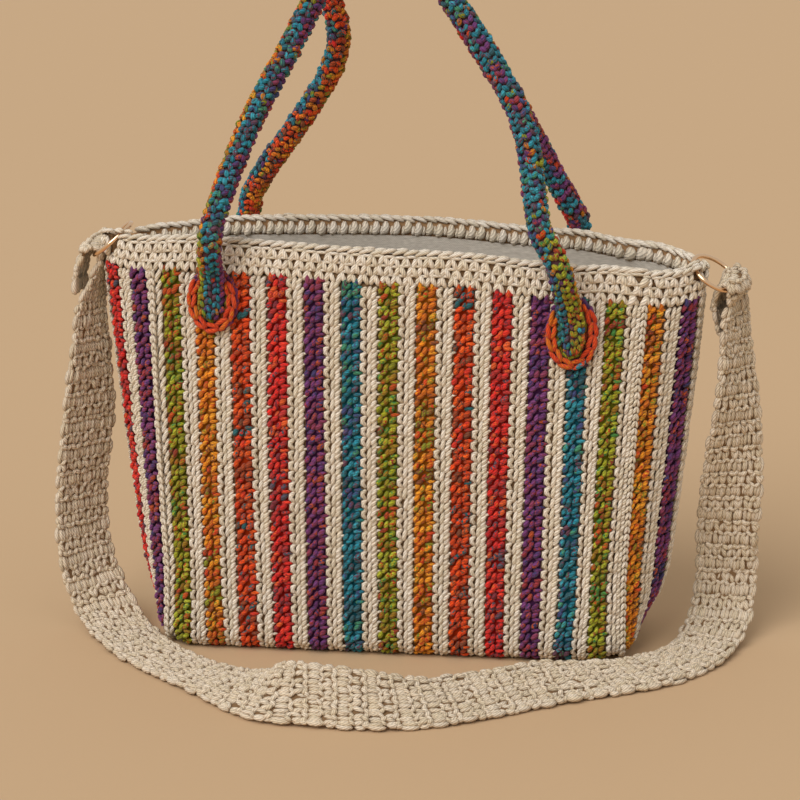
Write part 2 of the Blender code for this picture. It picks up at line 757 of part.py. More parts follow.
# Middle points of the free stretch of each handle, in steps of the grid
FRONT_HANDLE_ROUTE = (
    (-109.5, -57, 254), (-108, -53, 270), (-98, -44, 302), (-84, -35, 336), (-66, -28, 370),
    (-50, -22, 402), (-36, -18, 426), (-10, -16, 443), (16, -16, 430), (30, -17, 404),
    (46, -19, 382), (61, -23, 358), (73, -29, 337), (80, -36, 315), (84, -44, 291),
    (88, -51, 270), (99, -57, 251),
)
BACK_HANDLE_ROUTE = (
    (-106, 57, 256), (-103, 52, 270), (-91, 43, 290), (-76, 34, 310), (-60, 27, 333),
    (-47, 22, 354), (-41, 18, 376), (-45, 15, 398), (-43, 14, 422), (-28, 13, 442),
    (-4, 13, 452), (18, 14, 440), (34, 15, 414), (50, 19, 384), (66, 26, 350),
    (79, 34, 324), (90, 43, 298), (101, 51, 271), (106, 57, 255),
)


def handle_end(place):
    """The places where a handle runs down its patch, top first."""
    lift = PATCH_THICKNESS + HANDLE_FLAT_HALF_THICKNESS + FIT_GAP
    aside = place[4] * GRID_SIZES[0]
    return [tuple(patch_spot(place, aside * share, up, lift + rise))
            for share, (up, rise) in zip((1.0, 0.25, 0.0), HANDLE_END_SPOTS)]


def add_handle(name, left, right, route):
    """A rolled tube, pressed flat where its ends are sewn to the patches."""
    left_end = handle_end(PADS[left])
    right_end = handle_end(PADS[right])
    stops = left_end[::-1] + [on_grid(stop) for stop in route] + right_end
    points = [Vector(point) for point in smooth_path(stops, HANDLE_STEP)]
    face = Vector((0.0, PADS[left][3], 0.0))
    frames = []
    for tangent in path_tangents(points):
        across = tangent.cross(face).normalized()
        frames.append((across, across.cross(tangent).normalized()))

    def section(index):
        ends_away = min(index, len(points) - 1 - index)
        roundness = min(1.0, max(0.0, (ends_away - 1) / 2.0))
        wide = HANDLE_FLAT_HALF_WIDTH + (HANDLE_RADIUS - HANDLE_FLAT_HALF_WIDTH) * roundness
        thick = HANDLE_FLAT_HALF_THICKNESS
        thick += (HANDLE_RADIUS - HANDLE_FLAT_HALF_THICKNESS) * roundness
        if ends_away == 0:
            wide *= HANDLE_TIP_TAPER
        return [(wide * a, thick * b) for a, b in round_section(1.0, HANDLE_SIDES)]

    colours = ("teal", "purple", "orange", "green")
    materials = [make_material(c + "_wool", STRIPE_COLOURS[c]) for c in colours]
    mesh = tube_mesh(name, points, frames, section,
                     material_of=lambda index, k: k * len(colours) // HANDLE_SIDES)
    return add_object(name, mesh, materials)


# Rings

def ring_frame(centre, across, lean):
    """World matrix of a ring from its middle and two directions in its plane."""
    x_axis = Vector(across).normalized()
    y_axis = (Vector(lean) - x_axis * Vector(lean).dot(x_axis)).normalized()
    z_axis = x_axis.cross(y_axis)
    frame = Matrix((x_axis, y_axis, z_axis)).transposed().to_4x4()
    frame.translation = Vector(centre)
    return frame


RING_FRAMES = {
    "left": ring_frame(on_grid((-181.8, 0.0, 250.0)), (-0.729, -0.254, -0.636),
                       (-0.241, 0.965, -0.109)),
    "right": ring_frame(on_grid((191.3, 0.0, 237.2)), (0.852, -0.038, -0.529),
                        (0.201, 0.945, 0.257)),
}
# Where the rim holds each ring, in degrees round it. A turn from the first place to
# the second lifts the ring's outer end.
RING_HOLDS = {"left": (-112.0, 125.0), "right": (145.0, -140.0)}
# Middle of the strap's fold, in degrees round each ring
STRAP_HOLDS = {"left": 30.0, "right": 18.0}


def ring_place(side, degrees):
    """A place on the middle line of a ring's wire and the wire's direction there."""
    angle = math.radians(degrees)
    radius = (RING_DIAMETER - RING_WIRE) / 2
    frame = RING_FRAMES[side]
    place = frame @ Vector((radius * math.cos(angle), radius * math.sin(angle), 0.0))
    direction = frame.to_3x3() @ Vector((-math.sin(angle), math.cos(angle), 0.0))
    return place, direction


def ring_mesh(name, wire_radius, around, sides):
    middle_radius = (RING_DIAMETER - RING_WIRE) / 2
    centres, frames = [], []
    for k in range(around):
        angle = 2 * math.pi * k / around
        out = Vector((math.cos(angle), math.sin(angle), 0.0))
        centres.append(out * middle_radius)
        frames.append((out, Vector((0.0, 0.0, 1.0))))
    section = round_section(wire_radius, sides)
    return tube_mesh(name, centres, frames, lambda index: section, closed=True,
                     smooth_angle=80.0)


def add_ring(side):
    """A ring whose origin is on the line through the two places that hold it."""
    front, _ = ring_place(side, RING_HOLDS[side][0])
    back, _ = ring_place(side, RING_HOLDS[side][1])
    mesh = ring_mesh(side + "_ring", RING_WIRE / 2, 22, 6)
    mesh.transform(RING_FRAMES[side])
    gold = make_material("pale_gold_plate", (0.86, 0.62, 0.40), 0.18, 1.0)
    return add_object(side + "_ring", mesh, [gold], origin=(front + back) / 2)


# Shoulder strap

# Middle of the strap in steps of the grid, direction from its outer to its inner edge,
# and its width, which is STOP_WIDTH where the strap lies flat
STRAP_LEFT_FLAP = ((-205, 1, 207, 0.55, 0.83, 0.0, 24), (-203, 2, 222, 0.45, 0.88, 0.1, 21),
                   (-198.5, 4, 234, 0.3, 0.93, 0.2, 17))
STRAP_ROUTE = (
    (-190, 4, 233, 0.28, 0.93, 0.2, 17), (-194, 3, 222, 0.4, 0.9, 0.1, 20),
    (-197, 1, 207, 0.55, 0.83, 0.0, 24), (-198, 0, 188, 0.6, 0.8, 0.0, 29),
    (-199, 0, 166, 0.64, 0.77, 0.0, 34), (-201, 0, 140, 0.68, 0.73, 0.0, 38),
    (-204, -1, 112, 0.68, 0.73, 0.0, 38), (-207, -2, 84, 0.68, 0.73, 0.0, 38),
    (-206, -5, 56, 0.7, 0.71, 0.05, 38), (-200, -9, 31, 0.78, 0.6, 0.15, 38),
    (-189, -16, 12, 0.92, 0.35, 0.15, 38), (-176, -33, 4.5, 0.93, 0.38, 0.03, 38),
    (-155, -62, 3, 0.84, 0.54, 0.02, 38), (-127, -91, 3, 0.77, 0.64, 0.03, 38),
    (-98, -117, 5, 0.7, 0.7, 0.13, 38), (-74, -142, 10, 0.6, 0.68, 0.42, 38),
    (-58, -157, 15, 0.25, 0.66, 0.71, 38), (-40, -160, 16, -0.05, 0.66, 0.75, 38),
    (-12, -161, 15, -0.12, 0.7, 0.7, 38), (12, -157, 12.5, -0.24, 0.78, 0.57, 38),
    (39, -146, 9.5, -0.42, 0.8, 0.42, 38), (72, -125, 8.5, -0.5, 0.77, 0.38, 38),
    (99, -106, 8, -0.5, 0.78, 0.36, 38), (130, -88, 6, -0.54, 0.8, 0.22, 38),
    (160, -68, 4.5, -0.68, 0.72, 0.12, 38), (184, -38, 4, -0.9, 0.43, 0.05, 38),
    (196, -8, 6, -0.97, 0.22, 0.03, 38), (203, 14, 18, -0.99, 0.12, 0.0, 38),
    (205, 20, 42, -1.0, 0.03, 0.0, 38), (205, 16, 72, -1.0, 0.05, 0.0, 38),
    (206, 10, 100, -0.96, 0.25, 0.0, 38), (207, 5, 130, -0.88, 0.47, 0.0, 37),
    (208, 2, 156, -0.77, 0.64, 0.0, 34), (208, 1, 178, -0.65, 0.76, 0.05, 29),
    (208.5, 2, 199, -0.5, 0.86, 0.15, 24), (209.5, 3, 214, -0.3, 0.9, 0.3, 20),
    (209, 4, 223, -0.15, 0.91, 0.38, 17),
)
STRAP_RIGHT_FLAP = ((199, 4, 223, -0.15, 0.91, 0.38, 17), (200, 3, 212, -0.3, 0.9, 0.3, 20),
                    (202, 2, 197, -0.45, 0.88, 0.15, 23))
STOP_WIDTH = 38
FOLD_WIDTH = 12
FOLD_THICKNESS = 0.0028


def strap_stops(stops):
    """Stops in metres, with the strap's width as a share of its full width."""
    return [(*on_grid(stop[:3]), *stop[3:6], stop[6] / STOP_WIDTH) for stop in stops]


def fold_stops(side, turn):
    """Stops of the strap's fold over a ring. turn is +1 from left to right."""
    place, direction = ring_place(side, STRAP_HOLDS[side])
    direction = direction if direction.y > 0 else -direction
    up = (Vector((0, 0, 1)) - direction * direction.z).normalized()
    level = direction.cross(up).normalized()
    level = level if level.x > 0 else -level
    reach = RING_WIRE / 2 + STRAP_FOLD_GAP + FOLD_THICKNESS / 2
    stops = []
    for degrees in (170, 130, 90, 50, 10):
        angle = math.radians(degrees if turn > 0 else 180 - degrees)
        spot = place + (level * math.cos(angle) + up * math.sin(angle)) * reach
        stops.append((*spot, *direction, FOLD_WIDTH / STOP_WIDTH))
    return stops


def add_strap():
    """A flat ribbon of crochet rows, from the left flap to the right flap."""
    path = np.vstack((smooth_path(strap_stops(STRAP_LEFT_FLAP), STRAP_ROW),
                      fold_stops("left", 1),
                      smooth_path(strap_stops(STRAP_ROUTE), STRAP_ROW),
                      fold_stops("right", -1),
                      smooth_path(strap_stops(STRAP_RIGHT_FLAP), STRAP_ROW)))
    points = [Vector(row[:3]) for row in path]
    frames = []
    for point, tangent, row in zip(points, path_tangents(points), path):
        across = Vector(row[3:6])
        across = (across - tangent * across.dot(tangent)).normalized()
        face = tangent.cross(across).normalized()
        frames.append((across, face))
        reach = abs(across.z) * STRAP_WIDTH * row[6] / 2
        reach += abs(face.z) * STRAP_THICKNESS / 2
        point.z = max(point.z, reach + FLOOR_GAP)

    def section(index):
        half_width = STRAP_WIDTH / 2 * path[index][6]
        half = STRAP_THICKNESS / 2 - (STRAP_RIDGE / 2 if index % 2 else 0.0)
        if path[index][6] == FOLD_WIDTH / STOP_WIDTH:
            half = FOLD_THICKNESS / 2
        return [(-half_width, -half), (half_width, -half), (half_width, half),
                (-half_width, half)]
    mesh = tube_mesh("shoulder_strap", points, frames, section, smooth_angle=40.0)
    return add_object("shoulder_strap", mesh, [make_material(*CREAM)])


def build():
    clear_scene()
    add_main_panel()
    add_gusset("right_gusset", FRONT_PAIRS, RIGHT_GUSSET_STRIPES, 1)
    add_gusset("left_gusset", ALL_PAIRS - GUSSET_PAIRS, LEFT_GUSSET_STRIPES, -1)
    add_seam("left_seam", 0)
    add_seam("right_seam", FRONT_PAIRS)
    add_rim_band(RING_FRAMES)
    add_lining()
    for name, place in PADS.items():
        add_patch(name + "_patch", place)
        add_edging(name + "_edging", place)
    add_handle("front_handle", "front_left", "front_right", FRONT_HANDLE_ROUTE)
    add_handle("back_handle", "back_left", "back_right", BACK_HANDLE_ROUTE)
    add_ring("left")
    add_ring("right")
    add_strap()


build()
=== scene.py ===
"""Looks of the crochet tote bag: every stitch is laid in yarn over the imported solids.

The bag is worked in stitches. One short bead of yarn is modelled once, a stitch is a
few beads bent into its loops, and each stitch is copied along the rows of its piece.
Lengths are metres, apart from stitch patterns, the widths given with them and the routes
of the handles and the strap, which are in millimetres.
"""

import json
import math

import bpy
import numpy as np
from mathutils import Matrix, Vector


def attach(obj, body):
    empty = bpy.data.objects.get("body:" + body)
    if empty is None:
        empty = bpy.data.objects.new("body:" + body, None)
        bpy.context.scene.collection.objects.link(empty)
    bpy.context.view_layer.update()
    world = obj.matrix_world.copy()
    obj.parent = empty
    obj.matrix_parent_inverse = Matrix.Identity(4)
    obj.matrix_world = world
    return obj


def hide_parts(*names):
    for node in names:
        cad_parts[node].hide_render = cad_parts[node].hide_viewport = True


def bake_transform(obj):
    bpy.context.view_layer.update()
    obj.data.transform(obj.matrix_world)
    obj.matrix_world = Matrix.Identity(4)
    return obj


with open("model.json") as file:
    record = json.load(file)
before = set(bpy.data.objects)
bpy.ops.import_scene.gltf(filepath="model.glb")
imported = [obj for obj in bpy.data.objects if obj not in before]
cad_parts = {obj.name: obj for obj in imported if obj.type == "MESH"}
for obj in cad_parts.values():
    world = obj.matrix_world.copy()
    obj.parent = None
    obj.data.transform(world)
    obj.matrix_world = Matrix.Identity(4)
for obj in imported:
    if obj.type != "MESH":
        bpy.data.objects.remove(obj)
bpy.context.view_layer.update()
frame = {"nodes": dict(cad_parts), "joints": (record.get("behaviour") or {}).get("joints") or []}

MM = 0.001

# The bag's own sizes, the same as in the CAD source
BAG_HEIGHT = 0.254
RIM_WIDTH = 0.375
RIM_DEPTH = 0.088
BASE_WIDTH = 0.300
BASE_DEPTH = 0.102
BASE_CORNER_RADIUS = 0.025
BASE_EDGE_RADIUS = 0.012
BASE_END_LIFT = 0.0047
BASE_LIFT_PAIRS = 0.75
BELLY = 0.004
WALL_RIPPLE = 0.0012
RIPPLE_TURN_PER_PAIR = 1.7
RIPPLE_TURN_WITH_HEIGHT = 4.0
END_SWELL = (0.0075, 0.0095)
END_TUCK = (0.0020, 0.0045)
END_SWELL_BY_RISE = ((0.05, 0.0), (0.12, 0.7), (0.20, 1.0), (0.45, 0.72), (0.70, 0.38),
                     (0.92, 0.0))
END_TUCK_RISE = 0.14
END_REACH_PAIRS = 4.5
END_TURN_PAIRS = 2.4
WALL = 0.0045
FRONT_PAIRS = 13
GUSSET_PAIRS = 4
HALF_PAIRS = FRONT_PAIRS + GUSSET_PAIRS
ALL_PAIRS = 2 * HALF_PAIRS
RIM_BAND = 0.019
RIM_CUSP = 1.85
RIM_HEIGHT_CHANGES = ((1.3, 0.0033), (7.5, -0.0005), (12.0, -0.0092), (13.8, -0.0140),
                      (15.0, -0.0120), (17.0, -0.0045), (19.0, 0.0), (23.5, 0.0048),
                      (28.0, 0.0045), (30.0, 0.0010), (31.3, -0.0025), (32.4, 0.0015),
                      (33.3, 0.0005))
# Where on the outlines the stripes lie: the front's last cream stripe is a whole one
# and the right end starts with its first colour, and the back mirrors the front
LAST_PLACE = 12.75 * 13 / 13.25
STRIPE_PAIRS = (0, 12.75, 13, 13.25, 17, 17.25, 30, 34)
STRIPE_PLACES = (0, LAST_PLACE, 13, 13.06, 17, 30 - LAST_PLACE, 30, 34)
SEAM_LIFT = 0.0030
LINING_DROP = 0.010
LINING_DEPTH = 0.0056

# Stitch sizes: along a row, across a stripe of two rows, and round the rim
STITCH = 0.0066
STRIPE_MM = 11.3
RIM_STITCH = 0.0068
# How many millimetres the beads stray from their places in rows of each yarn
CREAM_STRAY = 0.22
DYED_STRAY = 0.38
# No stitch reaches lower than this over the floor
FLOOR_GAP = 0.0003

seeded = np.random.default_rng(20)


# Colours

def linear(code):
    """An sRGB hex colour as linear red, green and blue."""
    values = [int(code[i:i + 2], 16) / 255 for i in (1, 3, 5)]
    return np.array([v / 12.92 if v <= 0.04045 else ((v + 0.055) / 1.055) ** 2.4
                     for v in values])


CREAM = [linear(c) for c in ("#F3E5D0", "#EDDFC7", "#F8ECDA")]
# Each yarn: its main shades first, then the flecks that the dyeing leaves in it
YARNS = {
    "green": ("#A0A224", "#8E8E26", "#B2B634", "#9A7420", "#C0521F", "#4C8A42", "#98402A"),
    "yellow": ("#EC9020", "#EEA02C", "#DC7820", "#C86C22", "#8E8E2A", "#D44A22", "#864E30"),
    "orange": ("#EE4E18", "#F0601E", "#D84A1C", "#A84A28", "#7C4A34", "#2E646A", "#D03828"),
    "red": ("#E83028", "#EE402C", "#D62C28", "#BC3834", "#84343C", "#52505E", "#E4622E"),
    "purple": ("#743E78", "#80447A", "#663466", "#8A3E5A", "#A03C42", "#463E6C", "#B8522C"),
    "teal": ("#2A8A9E", "#267486", "#3C9CAE", "#38606A", "#6A4656", "#464E7C", "#4A906E"),
}
FRONT_STRIPES = ("green", "yellow", "orange", "red", "purple", "teal", "green", "yellow",
                 "orange", "red", "purple", "teal", "green")
RIGHT_GUSSET_STRIPES = ("yellow", "purple", "green", "red")
LEFT_GUSSET_STRIPES = ("teal", "yellow", "red", "purple")
YARN_SHADES = {name: [linear(c) for c in codes] for name, codes in YARNS.items()}


# Lines and directions

def unit(vectors):
    return vectors / np.maximum(np.linalg.norm(vectors, axis=-1, keepdims=True), 1e-9)


def lengths_along(points):
    return np.concatenate(([0.0], np.cumsum(np.linalg.norm(np.diff(points, axis=0), axis=1))))


def sampled(values, lengths, spots):
    """Rows of values, known at lengths along a line, at other spots on that line."""
    return np.column_stack([np.interp(spots, lengths, column) for column in values.T])


# Outlines of the bag, as tables of places round it

def at_fraction(points, fraction):
    lengths = lengths_along(points)
    return sampled(points, lengths, np.clip(fraction, 0, 1) * lengths[-1])


def rim_outline(pairs):
    angles = np.linspace(0, math.pi, 600)
    across = -np.cos(angles)
    deep = np.maximum(1 - across ** 2, 0) ** (1 / RIM_CUSP)
    half = np.column_stack((across * RIM_WIDTH / 2, -deep * RIM_DEPTH / 2))
    past = (pairs + GUSSET_PAIRS / 2) % ALL_PAIRS
    front = past <= HALF_PAIRS
    places = at_fraction(half, np.where(front, past, ALL_PAIRS - past) / HALF_PAIRS)
    places[:, 1] *= np.where(front, 1, -1)
    return places


def base_outline(pairs):
    half_width = BASE_WIDTH / 2 - BASE_CORNER_RADIUS
    half_depth = BASE_DEPTH / 2 - BASE_CORNER_RADIUS

    def half_corner(last):
        turn = np.linspace(math.pi / 4, last, 30)
        return np.column_stack((half_width + BASE_CORNER_RADIUS * np.sin(turn),
                                -half_depth - BASE_CORNER_RADIUS * np.cos(turn)))
    corner = half_corner(0)
    front = np.vstack((corner * (-1, 1), corner[::-1]))
    corner = half_corner(math.pi / 2)
    end = np.vstack((corner, corner[::-1] * (1, -1)))
    pairs = pairs % ALL_PAIRS
    on_front = at_fraction(front, pairs / FRONT_PAIRS)
    on_right = at_fraction(end, (pairs - FRONT_PAIRS) / GUSSET_PAIRS)
    on_back = at_fraction(front, 1 - (pairs - HALF_PAIRS) / FRONT_PAIRS) * (1, -1)
    on_left = at_fraction(end, 1 - (pairs - HALF_PAIRS - FRONT_PAIRS) / GUSSET_PAIRS) * (-1, 1)
    places = on_left
    for limit, part in ((HALF_PAIRS + FRONT_PAIRS, on_back), (HALF_PAIRS, on_right),
                        (FRONT_PAIRS, on_front)):
        places = np.where((pairs <= limit)[:, None], part, places)
    return places


TABLE_PAIRS = np.linspace(-1, ALL_PAIRS + 1, 2881)
RIM_TABLE = rim_outline(TABLE_PAIRS)
BASE_TABLE = base_outline(TABLE_PAIRS)


def from_table(table, pairs):
    pairs = pairs % ALL_PAIRS
    return [np.interp(pairs, TABLE_PAIRS, table[:, k]) for k in range(2)]


def rim_height(pairs):
    """Height of the rim's top edge, which dips towards the ring ends."""
    pairs = pairs % ALL_PAIRS
    stops = np.array([stop for stop, _ in RIM_HEIGHT_CHANGES])
    changes = np.array([change for _, change in RIM_HEIGHT_CHANGES])
    stops = np.concatenate(([stops[-1] - ALL_PAIRS], stops, [stops[0] + ALL_PAIRS]))
    changes = np.concatenate(([changes[-1]], changes, [changes[0]]))
    index = np.clip(np.searchsorted(stops, pairs) - 1, 0, len(stops) - 2)
    share = (pairs - stops[index]) / (stops[index + 1] - stops[index])
    blend = (1 - np.cos(math.pi * share)) / 2
    return BAG_HEIGHT + changes[index] + (changes[index + 1] - changes[index]) * blend


def end_shift(places, rise):
    """How far the swell and the tuck of an end move places of the wall along the bag."""
    from_left = np.abs((places + GUSSET_PAIRS / 2 + HALF_PAIRS) % ALL_PAIRS - HALF_PAIRS)
    left = from_left < HALF_PAIRS / 2
    apart = np.where(left, from_left, HALF_PAIRS - from_left)
    fade = np.clip(1 - apart / END_REACH_PAIRS, 0, 1)
    rises, shares = zip(*END_SWELL_BY_RISE)
    swell = np.where(left, *END_SWELL) * np.interp(rise, rises, shares)
    swell = swell * np.cos(math.pi * apart / END_TURN_PAIRS) * fade
    level = np.sin(math.pi / 2 * np.minimum(1, fade * 1.8))
    tuck = np.where(left, *END_TUCK) * np.maximum(0, 1 - rise / END_TUCK_RISE) * level
    return (swell - tuck) * np.where(left, -1, 1)


def section(pairs, heights):
    """Places on the outer wall at pair numbers and heights."""
    pairs, heights = np.broadcast_arrays(pairs, heights)
    rise = np.clip(heights / BAG_HEIGHT, 0, 1.03)
    places = np.interp(pairs % ALL_PAIRS, STRIPE_PAIRS, STRIPE_PLACES)
    bx, by = from_table(BASE_TABLE, places)
    rx, ry = from_table(RIM_TABLE, places)
    x, y = bx * (1 - rise) + rx * rise, by * (1 - rise) + ry * rise
    swell = np.sin(math.pi * np.minimum(rise, 1))
    turn = (pairs % ALL_PAIRS) * RIPPLE_TURN_PER_PAIR + rise * RIPPLE_TURN_WITH_HEIGHT
    spread = np.minimum(1, np.abs(y) / (RIM_DEPTH / 3))
    bulge = (BELLY + WALL_RIPPLE * np.sin(turn)) * swell * spread
    return np.stack((x + end_shift(places, rise), y + np.where(y > 0, bulge, -bulge),
                     heights), axis=-1)


# How many pairs to each side of a place the wall is followed to find its way out
OUTWARD_STEP = 0.05


def outward(pairs, heights):
    """The level direction out of the wall at pair numbers and heights."""
    along = section(pairs + OUTWARD_STEP, heights) - section(pairs - OUTWARD_STEP, heights)
    level = np.zeros(along.shape[:-1])
    return unit(np.stack((along[..., 1], -along[..., 0], level), axis=-1))


# Columns down the wall, as places and normals

UP = np.array((0.0, 0.0, 1.0))
DOWN = np.array((0.0, 0.0, -1.0))
WALL_SAMPLES = 44
ARC_SAMPLES = 7
BASE_SAMPLES = 12


def wall_part(pairs):
    top = rim_height(pairs) - RIM_BAND
    share = np.arange(WALL_SAMPLES) / WALL_SAMPLES
    heights = top[:, None] + (BASE_EDGE_RADIUS - top[:, None]) * share
    return section(pairs[:, None], heights), outward(pairs[:, None], heights)


def arc_part(pairs, ends, underside):
    """Quarter turn from the foot of the wall to the edge of the base."""
    foot = section(pairs, BASE_EDGE_RADIUS)
    out = outward(pairs, BASE_EDGE_RADIUS)
    angle = np.linspace(0, math.pi / 2, ARC_SAMPLES)
    share = (1 - np.cos(angle))[None, :, None]
    level = foot[:, None] * (1 - share) + ends[:, None] * share
    level[..., 2] = underside[:, None] + (BASE_EDGE_RADIUS - underside[:, None]) * (
        1 - np.sin(angle))
    normals = (out[:, None] * np.cos(angle)[None, :, None]
               + DOWN * np.sin(angle)[None, :, None])
    return level, normals


def main_columns(pairs):
    """Columns of the long panel: down the front, under the base and up the back."""
    pairs = np.asarray(pairs, float)
    back_pairs = ALL_PAIRS - GUSSET_PAIRS - pairs
    from_end = np.minimum(pairs, FRONT_PAIRS - pairs)
    underside = BASE_END_LIFT * np.maximum(0, 1 - from_end / BASE_LIFT_PAIRS) ** 1.5
    inward = np.array((0.0, BASE_EDGE_RADIUS, 0.0))
    front, back = wall_part(pairs), wall_part(back_pairs)
    front_arc = arc_part(pairs, section(pairs, BASE_EDGE_RADIUS) + inward, underside)
    back_arc = arc_part(back_pairs, section(back_pairs, BASE_EDGE_RADIUS) - inward, underside)
    share = (np.arange(1, BASE_SAMPLES) / BASE_SAMPLES)[None, :, None]
    base = front_arc[0][:, -1:] * (1 - share) + back_arc[0][:, -1:] * share
    middle = (base, np.broadcast_to(DOWN, base.shape))
    return [np.concatenate((front[k], front_arc[k], middle[k], back_arc[k][:, ::-1],
                            back[k][:, ::-1]), axis=1) for k in (0, 1)]


def gusset_columns(pairs):
    """Columns of an end panel, from the rim down to the end edge of the base."""
    pairs = np.asarray(pairs, float)
    right = pairs[0] < HALF_PAIRS + 1
    first = FRONT_PAIRS if right else ALL_PAIRS - GUSSET_PAIRS
    corners = section(np.array([first, first + GUSSET_PAIRS], float), BASE_EDGE_RADIUS)
    start_y, end_y = corners[:, 1] - np.sign(corners[:, 1]) * BASE_EDGE_RADIUS
    share = (pairs - first) / GUSSET_PAIRS
    ends = np.stack((np.full(len(pairs), corners[0, 0]), start_y + (end_y - start_y) * share,
                     np.zeros(len(pairs))), axis=-1)
    arc = arc_part(pairs, ends, np.full(len(pairs), BASE_END_LIFT))
    return [np.concatenate(parts, axis=1) for parts in zip(wall_part(pairs), arc)]


# The bead of yarn that every stitch is made of, modelled once

def deselect_all():
    for thing in list(bpy.context.selected_objects):
        thing.select_set(False)


def model_bead():
    """A short rounded length of yarn along Z, two units long and two thick."""
    deselect_all()
    bpy.ops.mesh.primitive_uv_sphere_add(segments=5, ring_count=5, radius=1.0)
    bead = bpy.context.object
    bpy.ops.object.mode_set(mode="EDIT")
    bpy.ops.mesh.select_all(action="SELECT")
    bpy.ops.mesh.quads_convert_to_tris(quad_method="FIXED", ngon_method="BEAUTY")
    bpy.ops.object.mode_set(mode="OBJECT")
    mesh = bead.data
    places = np.array([v.co for v in mesh.vertices])
    reach = np.linalg.norm(places[:, :2], axis=1)
    fuller = np.where(reach > 1e-6, np.maximum(reach, 1e-6) ** -0.35, 0)
    places[:, :2] *= fuller[:, None]
    faces = np.array([tuple(p.vertices) for p in mesh.polygons])
    uvs = np.array([tuple(d.uv) for d in mesh.uv_layers.active.data]).reshape(-1, 3, 2)
    bpy.data.objects.remove(bead, do_unlink=True)
    # The triangles come in another order each run, so they are put in one of their own
    turn = (faces.argmin(axis=1)[:, None] + np.arange(3)) % 3
    faces = np.take_along_axis(faces, turn, axis=1)
    uvs = np.take_along_axis(uvs, turn[..., None], axis=1)
    order = np.lexsort(faces.T[::-1])
    return places, faces[order], uvs[order].reshape(-1, 2)


BEAD, BEAD_FACES, BEAD_UVS = model_bead()


def bent_bead(start, middle, end, thick, depth=None, point=0.0):
    """A bead bent along a curve, in millimetres. point pinches its far end."""
    depth = thick if depth is None else depth
    start, middle, end = (np.array(p, float) for p in (start, middle, end))
    t = (BEAD[:, 2:3] + 1) / 2
    centre = start * (1 - t) ** 2 + 2 * middle * t * (1 - t) + end * t ** 2
    tangent = unit(2 * (middle - start) * (1 - t) + 2 * (end - middle) * t)
    side = unit(np.cross(tangent, (0.0, 0.0, 1.0)))
    up = np.cross(side, tangent)
    pinch = 1 - point * t
    return centre + side * BEAD[:, 0:1] * thick * pinch + up * BEAD[:, 1:2] * depth * pinch


def stitch(*beads):
    """A stitch as an array of beads, with each bead's length for its twist."""
    shapes = np.array([bent_bead(*bead) for bead in beads])
    sizes = np.array([np.linalg.norm(np.subtract(bead[2], bead[0])) + 1 for bead in beads])
    return shapes, sizes


# Two rows of single crochet, drawn across a stripe (0 to 11.3) and along the row.
# Every bead is longer than the row's pitch, so that the rows run on without a break.
# The cream stripe shows a loop round a small hole, an upright strand beside it, and two
# short leaning ones at its far side.
CREAM_STITCH = stitch(
    ((4.7, 3.4, 0.8), (-1.9, 0.8, 1.8), (4.5, -3.1, 0.7), 1.75, 1.6),
    ((5.3, -4.4, 0.8), (5.5, 0.0, 2.0), (6.9, 4.2, 0.8), 1.5, 1.6),
    ((7.3, -4.4, 0.7), (8.3, -1.8, 2.2), (10.2, 0.6, 0.7), 1.5, 1.5),
    ((7.3, -1.0, 0.7), (8.5, 1.5, 2.2), (10.6, 4.0, 0.7), 1.5, 1.5),
    ((9.6, -3.2, 0.8), (11.4, -2.0, 1.8), (13.2, -2.4, 0.9), 1.25, 1.1, 0.6),
)
# Half a stripe of cream, where a panel starts or ends at a corner
HALF_END = stitch(
    ((4.4, 3.7, 0.8), (-1.4, 1.1, 1.6), (4.0, -3.1, 0.6), 1.7),
    ((3.8, -3.6, 0.5), (5.2, 0.4, 1.7), (5.4, 4.2, 0.5), 1.6),
)
HALF_START = stitch(
    ((1.2, -4.4, 0.5), (2.2, -1.4, 2.0), (3.6, 2.2, 0.5), 1.7),
    ((2.2, -1.4, 0.4), (3.9, 1.2, 2.0), (5.0, 4.8, 0.4), 1.6),
)
# The coloured stripe shows short fat lumps in three uneven columns and a spike into
# its neighbour.
COLOUR_STITCH = stitch(
    ((0.4, -2.9, 0.5), (1.2, -0.6, 2.7), (2.7, 1.4, 0.8), 1.7, 1.7),
    ((1.5, 0.9, 0.6), (3.2, 2.7, 2.6), (5.6, 4.0, 0.8), 1.55, 1.5),
    ((4.0, -3.7, 0.6), (5.3, -1.6, 2.7), (6.1, 1.0, 0.8), 1.6, 1.6),
    ((6.8, -2.6, 0.6), (8.7, 0.0, 2.8), (10.9, 1.6, 0.8), 1.75, 1.7),
    ((7.0, 2.4, 0.6), (10.6, 3.6, 2.5), (13.2, 3.1, 0.8), 1.65, 1.5, 0.5),
)


# Meshes of many beads

# Painted shade: yarn is coloured darker and browner where it tucks under its neighbours
PAINTED_TUCK_SHADE = np.array((0.56, 0.46, 0.36))


